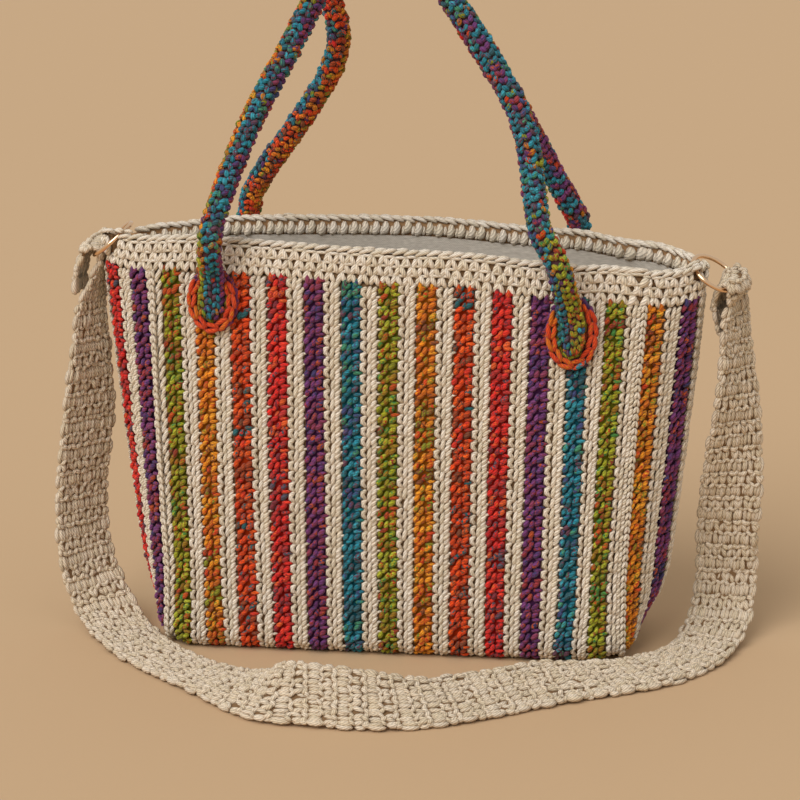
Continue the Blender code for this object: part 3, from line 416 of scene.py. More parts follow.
def yarn_mesh(name, beads, colours, flecks, sizes):
    """One mesh of many beads: places, two colours for each bead and lengths in mm."""
    count, corners = len(beads), len(BEAD)
    vertices = beads.reshape(-1, 3)
    faces = (BEAD_FACES[None] + (np.arange(count) * corners)[:, None, None]).reshape(-1)
    mesh = bpy.data.meshes.new(name)
    mesh.vertices.add(len(vertices))
    mesh.vertices.foreach_set("co", vertices.astype(np.float32).ravel())
    mesh.loops.add(len(faces))
    mesh.loops.foreach_set("vertex_index", faces.astype(np.int32))
    mesh.polygons.add(len(faces) // 3)
    mesh.polygons.foreach_set("loop_start", np.arange(0, len(faces), 3, dtype=np.int32))
    mesh.polygons.foreach_set("use_smooth", np.ones(len(faces) // 3, bool))
    uvs = np.tile(BEAD_UVS[None], (count, 1, 1))
    uvs[:, :, 0] += seeded.random(count)[:, None]
    uvs[:, :, 1] = uvs[:, :, 1] * sizes[:, None]
    layer = mesh.uv_layers.new(name="yarn")
    layer.data.foreach_set("uv", uvs.astype(np.float32).ravel())
    # Painted shade on every bead, darkest at its ends and its underside; both colour attributes
    # carry it
    open_to_light = (1 - 0.5 * np.abs(BEAD[:, 2]) ** 3) * (0.8 + 0.2 * BEAD[:, 1])
    painted_crease_shade = PAINTED_TUCK_SHADE + (1 - PAINTED_TUCK_SHADE) * np.clip(open_to_light, 0, 1)[:, None]
    for label, values in (("yarn_colour", colours), ("fleck_colour", flecks)):
        full = np.ones((count, corners, 4), np.float32)
        full[:, :, :3] = values[:, None, :] * painted_crease_shade[None]
        attribute = mesh.attributes.new(label, "FLOAT_COLOR", "POINT")
        attribute.data.foreach_set("color", full.ravel())
    mesh.update()
    mesh.validate()
    return mesh


def add_piece(name, mesh, material, nodes=(), body="root"):
    piece = bpy.data.objects.new(name, mesh)
    bpy.context.scene.collection.objects.link(piece)
    mesh.materials.append(material)
    if nodes:
        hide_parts(*nodes)
    if body:
        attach(piece, body)
    return piece


def cream_colours(count):
    """A shade of cream for each bead and a slightly darker one beside it."""
    picks = seeded.integers(0, len(CREAM), count)
    shade = 0.94 + 0.1 * seeded.random((count, 1))
    colours = np.array(CREAM)[picks] * shade
    return colours, colours * 0.93


# How often dyed yarn shows each of its shades, from the main ones to the flecks
SHADE_ODDS = np.array((0.27, 0.24, 0.2, 0.11, 0.07, 0.06, 0.05))
# How often a shade runs on into the next stitch, and a bead differs from its stitch
RUN_ON = 0.35
BEAD_STRAYS = 0.45


def yarn_colours(name, stitches, beads):
    """Colours along a row of dyed yarn, which changes every few stitches."""
    shades = np.array(YARN_SHADES[name])
    run = seeded.choice(len(shades), stitches, p=SHADE_ODDS)
    keep = seeded.random(stitches) < RUN_ON
    run[1:] = np.where(keep[1:], run[:-1], run[1:])
    picks = np.repeat(run[:, None], beads, axis=1)
    stray = seeded.random(picks.shape) < BEAD_STRAYS
    picks = np.where(stray, seeded.choice(len(shades), picks.shape, p=SHADE_ODDS), picks)
    colours = shades[picks] * (0.82 + 0.36 * seeded.random((*picks.shape, 1)))
    flecks = shades[seeded.choice(len(shades), picks.shape, p=np.roll(SHADE_ODDS, 3))]
    return colours.reshape(-1, 3), flecks.reshape(-1, 3)


def lay(pattern, origins, across, along, out, width_mm, stray_mm):
    """Copies a stitch to many places. Gives the beads' places and their lengths."""
    shapes, sizes = pattern
    count = len(origins)
    local = shapes + seeded.normal(0, stray_mm, (count, len(shapes), 1, 3))
    across, along, out = (np.broadcast_to(way, origins.shape)[:, None, None]
                          for way in (across, along, out))
    beads = (origins[:, None, None] + (local[..., 0:1] / width_mm - 0.5) * across
             + local[..., 1:2] * MM * along + local[..., 2:3] * MM * out)
    return beads.reshape(-1, len(BEAD), 3), np.tile(sizes, count)


def joined(parts):
    """Lists of arrays, such as beads and their sizes, made into one of each."""
    return [np.concatenate(group) for group in zip(*parts)]


def row_places(columns, stripe, shift):
    """Stitch places down one stripe, from the grids of its left, middle and right."""
    places, normals = columns
    left, middle, right = (places[3 * stripe + k] for k in range(3))
    lengths = lengths_along(middle)
    count = round(lengths[-1] / STITCH)
    spots = (np.arange(count) + shift) * lengths[-1] / count
    along = unit(sampled(middle, lengths, spots - STITCH / 2)
                 - sampled(middle, lengths, spots + STITCH / 2))
    stretch = lengths[-1] / count / STITCH
    return (sampled(middle, lengths, spots), sampled(right - left, lengths, spots),
            along * stretch, unit(sampled(normals[3 * stripe + 1], lengths, spots)))


def stripe_borders(first, pairs):
    """Left, middle and right pair numbers of every stripe, cream and coloured."""
    borders = []
    stops = [0.0, 0.25]
    for number in range(pairs):
        stops += [number + 0.75, number + 1.25]
    stops[-1] = pairs
    for left, right in zip(stops, stops[1:]):
        borders += [first + left, first + (left + right) / 2, first + right]
    return np.array(borders)


# Where along its column each coloured stripe and the cream one after it start, as a
# share of a stitch
ROW_STARTS = (0.50, 0.76, 0.36, 0.62, 0.44)
# How far the stitches under the bag are pressed up by its weight
BASE_PRESS = 0.0022
# Stripes narrower than these, in pairs: hidden by a corner, and half a stripe
HIDDEN_WIDTH = 0.1
HALF_WIDTH = 0.4


def panel_stitches(columns_of, first, colours):
    """Beads of a striped panel: places, two colours, sizes and their stitches' places."""
    borders = stripe_borders(first, len(colours))
    columns = columns_of(borders)
    places = np.interp(borders, STRIPE_PAIRS, STRIPE_PLACES)
    widths = places[2::3] - places[::3]
    parts = []
    for stripe, pairs_wide in enumerate(widths):
        if pairs_wide < HIDDEN_WIDTH:
            continue
        origins, across, along, out = row_places(
            columns, stripe, ROW_STARTS[(stripe + 1) // 2 % len(ROW_STARTS)])
        coloured = stripe % 2 == 1
        pattern, width = COLOUR_STITCH if coloured else CREAM_STITCH, STRIPE_MM
        if pairs_wide < HALF_WIDTH:
            pattern, width = HALF_START if stripe == 0 else HALF_END, STRIPE_MM / 2
        origins[:, 2] += BASE_PRESS * np.maximum(0, -out[:, 2])
        beads, sizes = lay(pattern, origins, across, along, out, width,
                           DYED_STRAY if coloured else CREAM_STRAY)
        beads[..., 2] = np.maximum(beads[..., 2], FLOOR_GAP)
        per_stitch = len(pattern[0])
        if coloured:
            shades = yarn_colours(colours[stripe // 2], len(origins), per_stitch)
        else:
            shades = cream_colours(len(origins) * per_stitch)
        parts.append((beads, *shades, sizes, np.repeat(origins, per_stitch, axis=0)))
    return joined(parts)


# Painted shade on the cloth between the stitches, as a share of their yarn's colour:
# browner under the cream, darker under the dyed stripes and at the panel's sides
CREAM_GAP_PAINTED_SHADE = (0.25, 0.17, 0.11)
DYED_GAP_PAINTED_SHADE = 0.42
SIDE_GAP_PAINTED_SHADE = 0.3
# How deep the cloth's two faces lie, and how far each is pressed up under the bag
BACKING_FACES = ((0.0001, 0.0032), (0.0040, 0.0012))


def backing_mesh(name, columns_of, first, colours):
    """The closed cloth under the stitches, in painted shade: darker shades of each stripe."""
    borders = stripe_borders(first, len(colours))
    pairs = np.append(borders[::3], borders[-1])
    places, normals = columns_of(pairs)
    keep = np.unique(np.append(np.arange(0, places.shape[1], 2), places.shape[1] - 1))
    places, normals = places[:, keep], normals[:, keep]
    rows = places.shape[1]
    under = np.maximum(0, -normals[..., 2:3]) * UP
    shells = np.stack([places - normals * depth + under * press
                       for depth, press in BACKING_FACES])
    count = len(pairs) * rows

    def number(shell, column, row):
        return shell * count + column * rows + row
    faces, shades = [], []
    for column in range(len(pairs) - 1):
        shade = (YARN_SHADES[colours[column // 2]][0] * DYED_GAP_PAINTED_SHADE if column % 2 == 1
                 else CREAM[1] * CREAM_GAP_PAINTED_SHADE)
        for row in range(rows - 1):
            for shell in (0, 1):
                ring = [number(shell, column, row), number(shell, column, row + 1),
                        number(shell, column + 1, row + 1), number(shell, column + 1, row)]
                faces.append(ring if shell == 0 else ring[::-1])
                shades.append(shade)
        for row in (0, rows - 1):
            ring = [number(0, column, row), number(0, column + 1, row),
                    number(1, column + 1, row), number(1, column, row)]
            faces.append(ring if row == 0 else ring[::-1])
            shades.append(shade)
    for column in (0, len(pairs) - 1):
        for row in range(rows - 1):
            ring = [number(0, column, row), number(1, column, row),
                    number(1, column, row + 1), number(0, column, row + 1)]
            faces.append(ring if column == 0 else ring[::-1])
            shades.append(CREAM[1] * SIDE_GAP_PAINTED_SHADE)
    mesh = bpy.data.meshes.new(name)
    mesh.from_pydata(shells.reshape(-1, 3).tolist(), [], faces)
    colour_faces(mesh, np.array(shades))
    mesh.shade_smooth()
    mesh.update()
    return mesh


def colour_faces(mesh, shades):
    """Writes one shade, or one for each face, into both yarn attributes."""
    shades = np.broadcast_to(shades, (len(mesh.polygons), 3))
    corners = np.array([p.loop_total for p in mesh.polygons])
    full = np.ones((len(mesh.loops), 4), np.float32)
    full[:, :3] = np.repeat(shades, corners, axis=0)
    for label in ("yarn_colour", "fleck_colour"):
        attribute = mesh.attributes.new(label, "FLOAT_COLOR", "CORNER")
        attribute.data.foreach_set("color", full.ravel())


def round_faces(rings, sides):
    """Faces between rings of places that are numbered ring by ring."""
    return [(r * sides + k, r * sides + (k + 1) % sides, (r + 1) * sides + (k + 1) % sides,
             (r + 1) * sides + k) for r in range(rings - 1) for k in range(sides)]


def tube_mesh(name, rings):
    """A closed tube through rings of places."""
    count, sides = rings.shape[:2]
    ends = [tuple(range(sides))[::-1], tuple((count - 1) * sides + k for k in range(sides))]
    mesh = bpy.data.meshes.new(name)
    mesh.from_pydata(rings.reshape(-1, 3).tolist(), [], round_faces(count, sides) + ends)
    return mesh


# Corners nearer to each other than this are one
WELD_REACH = 0.00002


def weld(piece, inset=0.0):
    """Joins the doubled corners of a piece and moves its faces in."""
    deselect_all()
    bpy.context.view_layer.objects.active = piece
    piece.select_set(True)
    bpy.ops.object.mode_set(mode="EDIT")
    bpy.ops.mesh.select_all(action="SELECT")
    bpy.ops.mesh.remove_doubles(threshold=WELD_REACH)
    if inset:
        bpy.ops.transform.shrink_fatten(value=-inset)
    bpy.ops.object.mode_set(mode="OBJECT")


# Materials

def add_node(tree, kind, settings=None, values=None, links=None):
    """Adds a node, sets its properties and inputs, and links its inputs."""
    node = tree.nodes.new(kind)
    for key, value in (settings or {}).items():
        setattr(node, key, value)
    for key, value in (values or {}).items():
        node.inputs[key].default_value = value
    for key, socket in (links or {}).items():
        tree.links.new(socket, node.inputs[key])
    return node


def new_material(name, surface):
    """A material with its node tree and shader, whose inputs are set from surface."""
    material = bpy.data.materials.new(name)
    material.use_nodes = True
    tree = material.node_tree
    shader = tree.nodes["Principled BSDF"]
    for key, value in surface.items():
        shader.inputs[key].default_value = value
    return material, tree, shader


def yarn_material(name, plies, turns_per_mm, fleck_share, patch_size):
    """Mercerised cotton spun from a few plies: soft, dull, with a faint sheen.

    The plies wind round each bead with painted shade in the grooves between them, the second
    colour comes in soft patches 1 or 2 mm long, and fine fibres roughen it all.
    """
    material, tree, shader = new_material(name, {
        "Roughness": 0.85, "Specular IOR Level": 0.2, "Sheen Weight": 0.12,
        "Sheen Roughness": 0.5})
    main = add_node(tree, "ShaderNodeAttribute", {"attribute_name": "yarn_colour"})
    fleck = add_node(tree, "ShaderNodeAttribute", {"attribute_name": "fleck_colour"})
    uv = add_node(tree, "ShaderNodeUVMap", {"uv_map": "yarn"})
    split = add_node(tree, "ShaderNodeSeparateXYZ", links={0: uv.outputs[0]})
    place = add_node(tree, "ShaderNodeTexCoord")
    patch = add_node(tree, "ShaderNodeTexNoise", {"noise_dimensions": "3D"},
                     {"Scale": 1 / patch_size, "Detail": 2.5, "Roughness": 0.6},
                     {"Vector": place.outputs["Object"]})
    fibre = add_node(tree, "ShaderNodeTexNoise", {"noise_dimensions": "3D"},
                     {"Scale": 1 / 0.0009, "Detail": 3.0, "Roughness": 0.65},
                     {"Vector": place.outputs["Object"]})
    round_it = add_node(tree, "ShaderNodeMath", {"operation": "MULTIPLY_ADD"},
                        {1: plies * math.pi}, {0: split.outputs[0], 2: patch.outputs[0]})
    wind = add_node(tree, "ShaderNodeMath", {"operation": "MULTIPLY_ADD"},
                    {1: turns_per_mm * plies * math.pi},
                    {0: split.outputs[1], 2: round_it.outputs[0]})
    wave = add_node(tree, "ShaderNodeMath", {"operation": "SINE"}, links={0: wind.outputs[0]})
    ridge = add_node(tree, "ShaderNodeMath", {"operation": "ABSOLUTE"},
                     links={0: wave.outputs[0]})
    edge = 0.60 - fleck_share * 0.2
    mask = add_node(tree, "ShaderNodeMapRange", {"clamp": True},
                    {"From Min": edge, "From Max": edge + 0.08},
                    {"Value": patch.outputs[0]})
    colour = add_node(tree, "ShaderNodeMix", {"data_type": "RGBA"},
                      links={0: mask.outputs[0], 6: main.outputs["Color"],
                             7: fleck.outputs["Color"]})
    # Painted shade in the grooves between the plies, and slight painted light on their ridges
    painted_groove_shade = add_node(tree, "ShaderNodeMapRange", {"clamp": True},
                      {"From Min": 0.1, "From Max": 0.85, "To Min": 0.64, "To Max": 1.06},
                      {"Value": ridge.outputs[0]})
    speck = add_node(tree, "ShaderNodeMapRange", {"clamp": True},
                     {"From Min": 0.3, "From Max": 0.7, "To Min": 0.84, "To Max": 1.14},
                     {"Value": fibre.outputs[0]})
    dark = add_node(tree, "ShaderNodeMath", {"operation": "MULTIPLY"},
                    links={0: painted_groove_shade.outputs[0], 1: speck.outputs[0]})
    shaded = add_node(tree, "ShaderNodeMix", {"data_type": "RGBA", "blend_type": "MULTIPLY"},
                      {0: 1.0}, {6: colour.outputs[2], 7: dark.outputs[0]})
    height = add_node(tree, "ShaderNodeMath", {"operation": "MULTIPLY_ADD"}, {1: 0.8},
                      {0: ridge.outputs[0], 2: fibre.outputs[0]})
    bump = add_node(tree, "ShaderNodeBump", values={"Strength": 0.7, "Distance": 0.0004},
                    links={"Height": height.outputs[0]})
    tree.links.new(shaded.outputs[2], shader.inputs["Base Color"])
    tree.links.new(bump.outputs[0], shader.inputs["Normal"])
    return material


def shaded_cloth_material(name):
    """The dense inside of the crochet, seen only through the gaps between stitches, in painted
    shade.
    """
    material, tree, shader = new_material(name, {"Roughness": 0.95,
                                                 "Specular IOR Level": 0.1})
    main = add_node(tree, "ShaderNodeAttribute", {"attribute_name": "yarn_colour"})
    place = add_node(tree, "ShaderNodeTexCoord")
    fibre = add_node(tree, "ShaderNodeTexNoise", values={"Scale": 1 / 0.0016, "Detail": 2.0},
                     links={"Vector": place.outputs["Object"]})
    bump = add_node(tree, "ShaderNodeBump", values={"Strength": 0.5, "Distance": 0.0004},
                    links={"Height": fibre.outputs[0]})
    tree.links.new(main.outputs["Color"], shader.inputs["Base Color"])
    tree.links.new(bump.outputs[0], shader.inputs["Normal"])
    return material


CREAM_COTTON = yarn_material("cream_cotton_yarn", 6, 0.085, 0.0, 0.0030)
DYED_COTTON = yarn_material("dyed_cotton_yarn", 6, 0.085, 0.55, 0.0017)
INNER_CLOTH_IN_PAINTED_SHADE = shaded_cloth_material("inside_of_crochet_in_painted_shade")


# Rings, which the stitches of the rim make room for

RING_RADIUS = 0.0151
RING_WIRE_RADIUS = 0.0014
RING_ROOM = RING_WIRE_RADIUS + 0.0002
RING_AXES = {
    "left": ((-0.1818, 0.0, 0.2500), (-0.729, -0.254, -0.636), (-0.241, 0.965, -0.109)),
    "right": ((0.1913, 0.0, 0.2372), (0.852, -0.038, -0.529), (0.201, 0.945, 0.257)),
}
# Places round a wire, turns over a ring's swing, and how far from a ring's middle
# stitches can be in its way
WIRE_PLACES = 72
SWING_TURNS = 7
RING_REACH = 0.04


def ring_axes(side):
    """A ring's middle and two directions in its plane, at right angles."""
    centre, across, lean = (np.array(v, float) for v in RING_AXES[side])
    across = unit(across)
    return centre, across, unit(lean - across * lean.dot(across))


def ring_joint(side):
    return next(j for j in frame["joints"] if j["name"] == side + "_ring_swing")


def ring_line(side, swing):
    """Places round the middle of a ring's wire, swung by some degrees from rest."""
    centre, across, lean = ring_axes(side)
    angles = np.linspace(0, 2 * math.pi, WIRE_PLACES, endpoint=False)[:, None]
    line = centre + RING_RADIUS * (across * np.cos(angles) + lean * np.sin(angles))
    joint = ring_joint(side)
    turn = np.array(Matrix.Rotation(math.radians(swing), 3, Vector(joint["axis"])))
    return (line - joint["pos_m"]) @ turn.T + joint["pos_m"]


def ring_sweep(side):
    """The same places at several turns over the ring's whole swing."""
    turns = np.linspace(*ring_joint(side)["range_deg"], SWING_TURNS)
    return np.concatenate([ring_line(side, swing) for swing in turns])


def gaps_to_wire(beads, line):
    """How near each bead comes to a ring's wire, by places on and inside the bead."""
    centres = beads.mean(axis=1, keepdims=True)
    places = np.concatenate((beads, (beads + centres) / 2, centres), axis=1)
    apart = np.linalg.norm(places[:, :, None] - line[None, None], axis=3)
    return apart.min(axis=(1, 2))


def clear_of_rings(beads, room, lifts=(0.0,)):
    """Beads shifted out over the wire of a ring, and which of them then clear it."""
    beads, keep = beads.copy(), np.ones(len(beads), bool)
    for side in RING_AXES:
        line, sweep = ring_line(side, 0.0), ring_sweep(side)
        apart = np.linalg.norm(beads.mean(axis=1) - line.mean(axis=0), axis=1)
        near = np.flatnonzero(apart < RING_REACH)
        ends = np.sign(beads[near].mean(axis=1))[:, None]
        away = ends * (0.3, 0.65, 0.0) + (0.0, 0.0, 0.7)
        open_still = np.ones(len(near), bool)
        for lift in lifts:
            tried = beads[near] + away * lift
            clear = (open_still & (gaps_to_wire(tried, line) > room)
                     & (gaps_to_wire(tried, sweep) > room))
            beads[near[clear]] = tried[clear]
            open_still &= ~clear
        keep[near[open_still]] = False
    return beads, keep


# Striped panels

# Stitches of the main panel lower than this are the base's
BASE_TOP = 0.0075


def split_by(parts, keep):
    return [values[keep] for values in parts]


def add_main_panel():
    parts = panel_stitches(main_columns, 0, FRONT_STRIPES)
    spots = parts.pop()
    on_base = spots[:, 2] < BASE_TOP
    front = (spots[:, 1] < 0) & ~on_base
    back = (spots[:, 1] > 0) & ~on_base
    for name, keep in (("front_crochet", front), ("base_crochet", on_base),
                       ("back_crochet", back)):
        mesh = yarn_mesh(name, *split_by(parts, keep))
        add_piece(name, mesh, DYED_COTTON, ["main_panel"])
    mesh = backing_mesh("main_backing", main_columns, 0, FRONT_STRIPES)
    add_piece("main_backing", mesh, INNER_CLOTH_IN_PAINTED_SHADE, ["main_panel"])


def add_gusset(side, first, colours):
    parts = panel_stitches(gusset_columns, first, colours)
    parts.pop()
    node = side + "_gusset"
    parts[0], clear = clear_of_rings(parts[0], RING_ROOM)
    mesh = yarn_mesh(node + "_crochet", *split_by(parts, clear))
    add_piece(node + "_crochet", mesh, DYED_COTTON, [node])
    mesh = backing_mesh(node + "_backing", gusset_columns, first, colours)
    add_piece(node + "_backing", mesh, INNER_CLOTH_IN_PAINTED_SHADE, [node])


add_main_panel()
add_gusset("right", FRONT_PAIRS, RIGHT_GUSSET_STRIPES)
add_gusset("left", ALL_PAIRS - GUSSET_PAIRS, LEFT_GUSSET_STRIPES)


# Rim, worked in rounds over the panels' ends

RIM_ROUND_STITCH = stitch(
    ((0.5, 3.2, 0.3), (1.0, 0.4, 2.4), (3.4, -3.4, 0.5), 1.75, 1.6),
    ((6.4, 3.2, 0.3), (5.8, 0.2, 2.2), (3.9, -3.4, 0.5), 1.7, 1.6),
    ((-1.2, 2.9, 0.2), (3.2, 4.0, 1.2), (7.6, 3.3, 0.1), 1.1),
)
# Inside the mouth a row of fat leaning lobes hangs under the edge.
RIM_INNER_STITCH = stitch(
    ((1.2, -4.6, 0.4), (6.0, -1.2, 3.2), (3.0, 4.0, 0.6), 2.5, 2.1),
    ((-0.6, -4.4, 0.2), (0.8, -2.6, 2.4), (0.2, 1.6, 0.4), 1.4, 1.3),
)
# The top chain: two long strands that overlap the next stitch's, over a fill between.
RIM_EDGE_STITCH = stitch(
    ((-2.0, 2.9, -1.3), (2.2, 3.4, 1.4), (8.0, 1.0, 1.2), 1.3, 1.3),
    ((-2.0, -2.9, -1.3), (2.2, -3.4, 1.4), (8.0, -1.0, 1.2), 1.3, 1.3),
    ((0.0, 0.0, 0.2), (3.4, 0.2, 1.3), (6.8, 0.0, 0.2), 1.4, 1.2),
)
STRIPE_TOP = stitch(
    ((2.4, -3.4, 0.8), (2.2, -0.6, 3.2), (1.9, 3.2, 1.0), 1.8, 1.6, 0.3),
    ((8.6, -3.4, 0.8), (8.9, -0.6, 3.2), (9.4, 3.0, 1.0), 1.8, 1.6, 0.3),
)


# How deep the top chain and the lobes inside lie, the width of all the patterns in
# millimetres, and how far a bead in a ring's way may be lifted over its wire
TOP_CHAIN = 0.0025
INNER_DROP = 0.0050
RIM_MM = 6.8
RIM_STRAY = 0.34
RIM_LIFTS = np.arange(0.0, 0.0046, 0.0004)
RIM_BACKING_INSET = 0.0006
# The rim's cloth carries painted shade, made this much lighter inside the mouth where more light
# falls
MOUTH_LESS_PAINTED_SHADE = 2.2
BACK_TOPS = ("orange", "yellow", "green", "teal", "purple", "red") * 2 + ("orange",)


def round_places(drop, depth, count_from=0.0):
    """Evenly spaced places round the rim, a drop below its top edge."""
    pairs = np.linspace(0, ALL_PAIRS, 1361)
    line = section(pairs, rim_height(pairs) - drop)
    lengths = lengths_along(line)
    count = round(lengths[-1] / RIM_STITCH)
    spots = (np.arange(count) + count_from) * lengths[-1] / count
    at = np.interp(spots, lengths, pairs)
    heights = rim_height(at) - drop
    out = outward(at, heights)
    step = ALL_PAIRS / count / 2
    across = (section(at + step, rim_height(at + step) - drop)
              - section(at - step, rim_height(at - step) - drop))
    return section(at, heights) - out * depth, across, out


def add_rim():
    outer = []
    rounds = (RIM_BAND - TOP_CHAIN) / 3
    for number in range(3):
        origins, across, out = round_places(TOP_CHAIN + rounds * (number + 0.5), 0.0,
                                            0.5 * number + 0.2 * (number == 2))
        outer.append(lay(RIM_ROUND_STITCH, origins, across, UP, out, RIM_MM, RIM_STRAY))
    origins, across, out = round_places(0.0, WALL / 2)
    outer.append(lay(RIM_EDGE_STITCH, origins, across, out, UP, RIM_MM, CREAM_STRAY))
    origins, across, out = round_places(INNER_DROP, WALL - 0.0004)
    inner = lay(RIM_INNER_STITCH, origins, -across, UP, -out, RIM_MM, RIM_STRAY)
    parts = []
    for (beads, sizes), lifts in ((joined(outer), RIM_LIFTS), (inner, (0.0,))):
        beads, fits = clear_of_rings(beads, RING_ROOM, lifts)
        parts.append((beads[fits], sizes[fits]))
    beads, sizes = joined(parts)
    mesh = yarn_mesh("rim_crochet", beads, *cream_colours(len(beads)), sizes)
    add_piece("rim_crochet", mesh, CREAM_COTTON, ["rim_band"])
    mesh = frame["nodes"]["rim_band"].data.copy()
    mesh.materials.clear()
    copy = add_piece("rim_backing", mesh, INNER_CLOTH_IN_PAINTED_SHADE, ["rim_band"])
    weld(copy, RIM_BACKING_INSET)
    # Painted shade: the rim's cloth takes the gaps' dark colour, lighter on its faces inside the
    # mouth
    inward = np.array([p.normal.x * p.center.x + 18 * p.normal.y * p.center.y < 0
                       for p in copy.data.polygons])
    lighter = np.where(inward, MOUTH_LESS_PAINTED_SHADE, 1.0)[:, None]
    colour_faces(copy.data, CREAM[1] * CREAM_GAP_PAINTED_SHADE * lighter)


def add_stripe_tops():
    """The two prongs of dyed yarn that reach up into the rim above each stripe."""
    everywhere = FRONT_STRIPES + RIGHT_GUSSET_STRIPES + BACK_TOPS + LEFT_GUSSET_STRIPES
    parts = []
    for pair, name in enumerate(everywhere):
        at = np.array([pair + 0.5])
        height = rim_height(at) - RIM_BAND
        across = section(at + 0.25, height) - section(at - 0.25, height)
        beads, sizes = lay(STRIPE_TOP, section(at, height), across, UP, outward(at, height),
                           STRIPE_MM, 0.16)
        parts.append((beads, *yarn_colours(name, 1, len(STRIPE_TOP[0])), sizes))
    mesh = yarn_mesh("stripe_tops", *joined(parts))
    add_piece("stripe_tops", mesh, DYED_COTTON)


add_rim()
add_stripe_tops()


# Joining seams, a raised chain down each front corner, under and up the back

SEAM_STITCH = stitch(
    ((0.1, -2.3, -0.5), (0.2, 0.2, 1.0), (1.5, 2.6, 0.1), 1.1),
    ((3.0, -2.3, -0.5), (2.8, 0.2, 1.0), (1.5, 2.6, 0.1), 1.1),
)
SEAM_PITCH = 0.0044
SEAM_MM = 3.1


def line_places(line, normals, pitch):
    """Even places on a line, with the directions along it and out of it there."""
    lengths = lengths_along(line)
    count = max(1, round(lengths[-1] / pitch))
    spots = (np.arange(count) + 0.5) * lengths[-1] / count
    along = unit(sampled(line, lengths, spots + pitch / 2)
                 - sampled(line, lengths, spots - pitch / 2))
    return sampled(line, lengths, spots), along, sampled(normals, lengths, spots)


def add_seam(name, pair):
    places, normals = main_columns([pair])
    line = places[0] + normals[0] * SEAM_LIFT
    origins, along, out = line_places(line, normals[0], SEAM_PITCH)
    across = unit(np.cross(-along, out)) * SEAM_MM * MM
    beads, sizes = lay(SEAM_STITCH, origins, across, -along, out, SEAM_MM, 0.08)
    mesh = yarn_mesh(name + "_chain", beads, *cream_colours(len(beads)), sizes)
    add_piece(name + "_chain", mesh, CREAM_COTTON, [name])


add_seam("left_seam", 0)
add_seam("right_seam", FRONT_PAIRS)


# Lining

# Real threads are 0.4 mm apart; they are drawn this far apart, so that they show
THREAD_MM = 1.1


def woven_material(name):
    """Plain woven cotton in two greys: a fine grid of threads with soft slubs."""
    material, tree, shader = new_material(name, {"Roughness": 0.85,
                                                 "Specular IOR Level": 0.2})
    uv = add_node(tree, "ShaderNodeUVMap", {"uv_map": "cloth"})
    split = add_node(tree, "ShaderNodeSeparateXYZ", links={0: uv.outputs[0]})
    waves = []
    for axis in (0, 1):
        turn = add_node(tree, "ShaderNodeMath", {"operation": "MULTIPLY"},
                        {1: 2 * math.pi / THREAD_MM}, {0: split.outputs[axis]})
        waves.append(add_node(tree, "ShaderNodeMath", {"operation": "SINE"},
                              links={0: turn.outputs[0]}))
    weave = add_node(tree, "ShaderNodeMath", {"operation": "MULTIPLY"},
                     links={0: waves[0].outputs[0], 1: waves[1].outputs[0]})
    place = add_node(tree, "ShaderNodeTexCoord")
    stretch = add_node(tree, "ShaderNodeMapping", values={"Scale": (260.0, 260.0, 1400.0)},
                       links={"Vector": place.outputs["Object"]})
    slub = add_node(tree, "ShaderNodeTexNoise", values={"Scale": 1.0, "Detail": 3.0},
                    links={"Vector": stretch.outputs[0]})
    mixed = add_node(tree, "ShaderNodeMath", {"operation": "MULTIPLY_ADD"}, {1: 0.25},
                     {0: weave.outputs[0], 2: slub.outputs[0]})
    ramp = add_node(tree, "ShaderNodeMapRange", {"clamp": True},
                    {"From Min": 0.2, "From Max": 0.8}, {"Value": mixed.outputs[0]})
    colour = add_node(tree, "ShaderNodeMix", {"data_type": "RGBA"},
                      {6: (*linear("#B0A799"), 1.0), 7: (*linear("#DED5C8"), 1.0)},
                      {0: ramp.outputs[0]})
    bump = add_node(tree, "ShaderNodeBump", values={"Strength": 0.5, "Distance": 0.0002},
                    links={"Height": mixed.outputs[0]})
    tree.links.new(colour.outputs[2], shader.inputs["Base Color"])
    tree.links.new(bump.outputs[0], shader.inputs["Normal"])
    return material


GREY_COTTON = woven_material("grey_woven_cotton")
LINING_COLUMNS = 204
LINING_WALL_ROWS = 22
LINING_FLOOR_ROWS = 6
# The height of the lining's floor, the rise of the curve at its sides and the middle
# line that the floor's cloth runs in to
LINING_FLOOR = 0.0075
LINING_CURVE = 0.006
LINING_SPINE = 0.105


def lining_grid():
    """Rows of places from the hem down the wall and in to the middle of the floor."""
    pairs = np.arange(LINING_COLUMNS) * ALL_PAIRS / LINING_COLUMNS
    top = rim_height(pairs) - LINING_DROP
    ripple = (np.sin(pairs * 1.9 + 0.4) + 0.6 * np.sin(pairs * 3.3 + 1.7)
              + 0.4 * np.sin(pairs * 5.3 + 2.9))
    rows = []
    for row in range(LINING_WALL_ROWS + 1):
        share = row / LINING_WALL_ROWS
        height = top + (LINING_FLOOR + LINING_CURVE - top) * share
        slack = min(1.0, share * 5) * (0.0014 + 0.0009 * (ripple + 1.6) * math.sin(
            math.pi * min(1.0, share * 1.2)) ** 2)
        sway = 0.0009 * np.sin(pairs * 2.7 + share * 5.0) * min(1.0, share * 5)
        depth = LINING_DEPTH + slack + np.abs(sway)
        rows.append(section(pairs, height) - outward(pairs, height) * depth[:, None])
    foot = rows[-1]
    spine = np.column_stack((np.clip(foot[:, 0], -LINING_SPINE, LINING_SPINE),
                             np.zeros(LINING_COLUMNS)))
    for row in range(1, LINING_FLOOR_ROWS + 1):
        share = row / LINING_FLOOR_ROWS
        flat = foot[:, :2] * (1 - share) + spine * share
        height = LINING_FLOOR + LINING_CURVE * max(0.0, 1 - share * 3) ** 2
        rows.append(np.column_stack((flat, np.full(LINING_COLUMNS, height))))
    return np.array(rows)


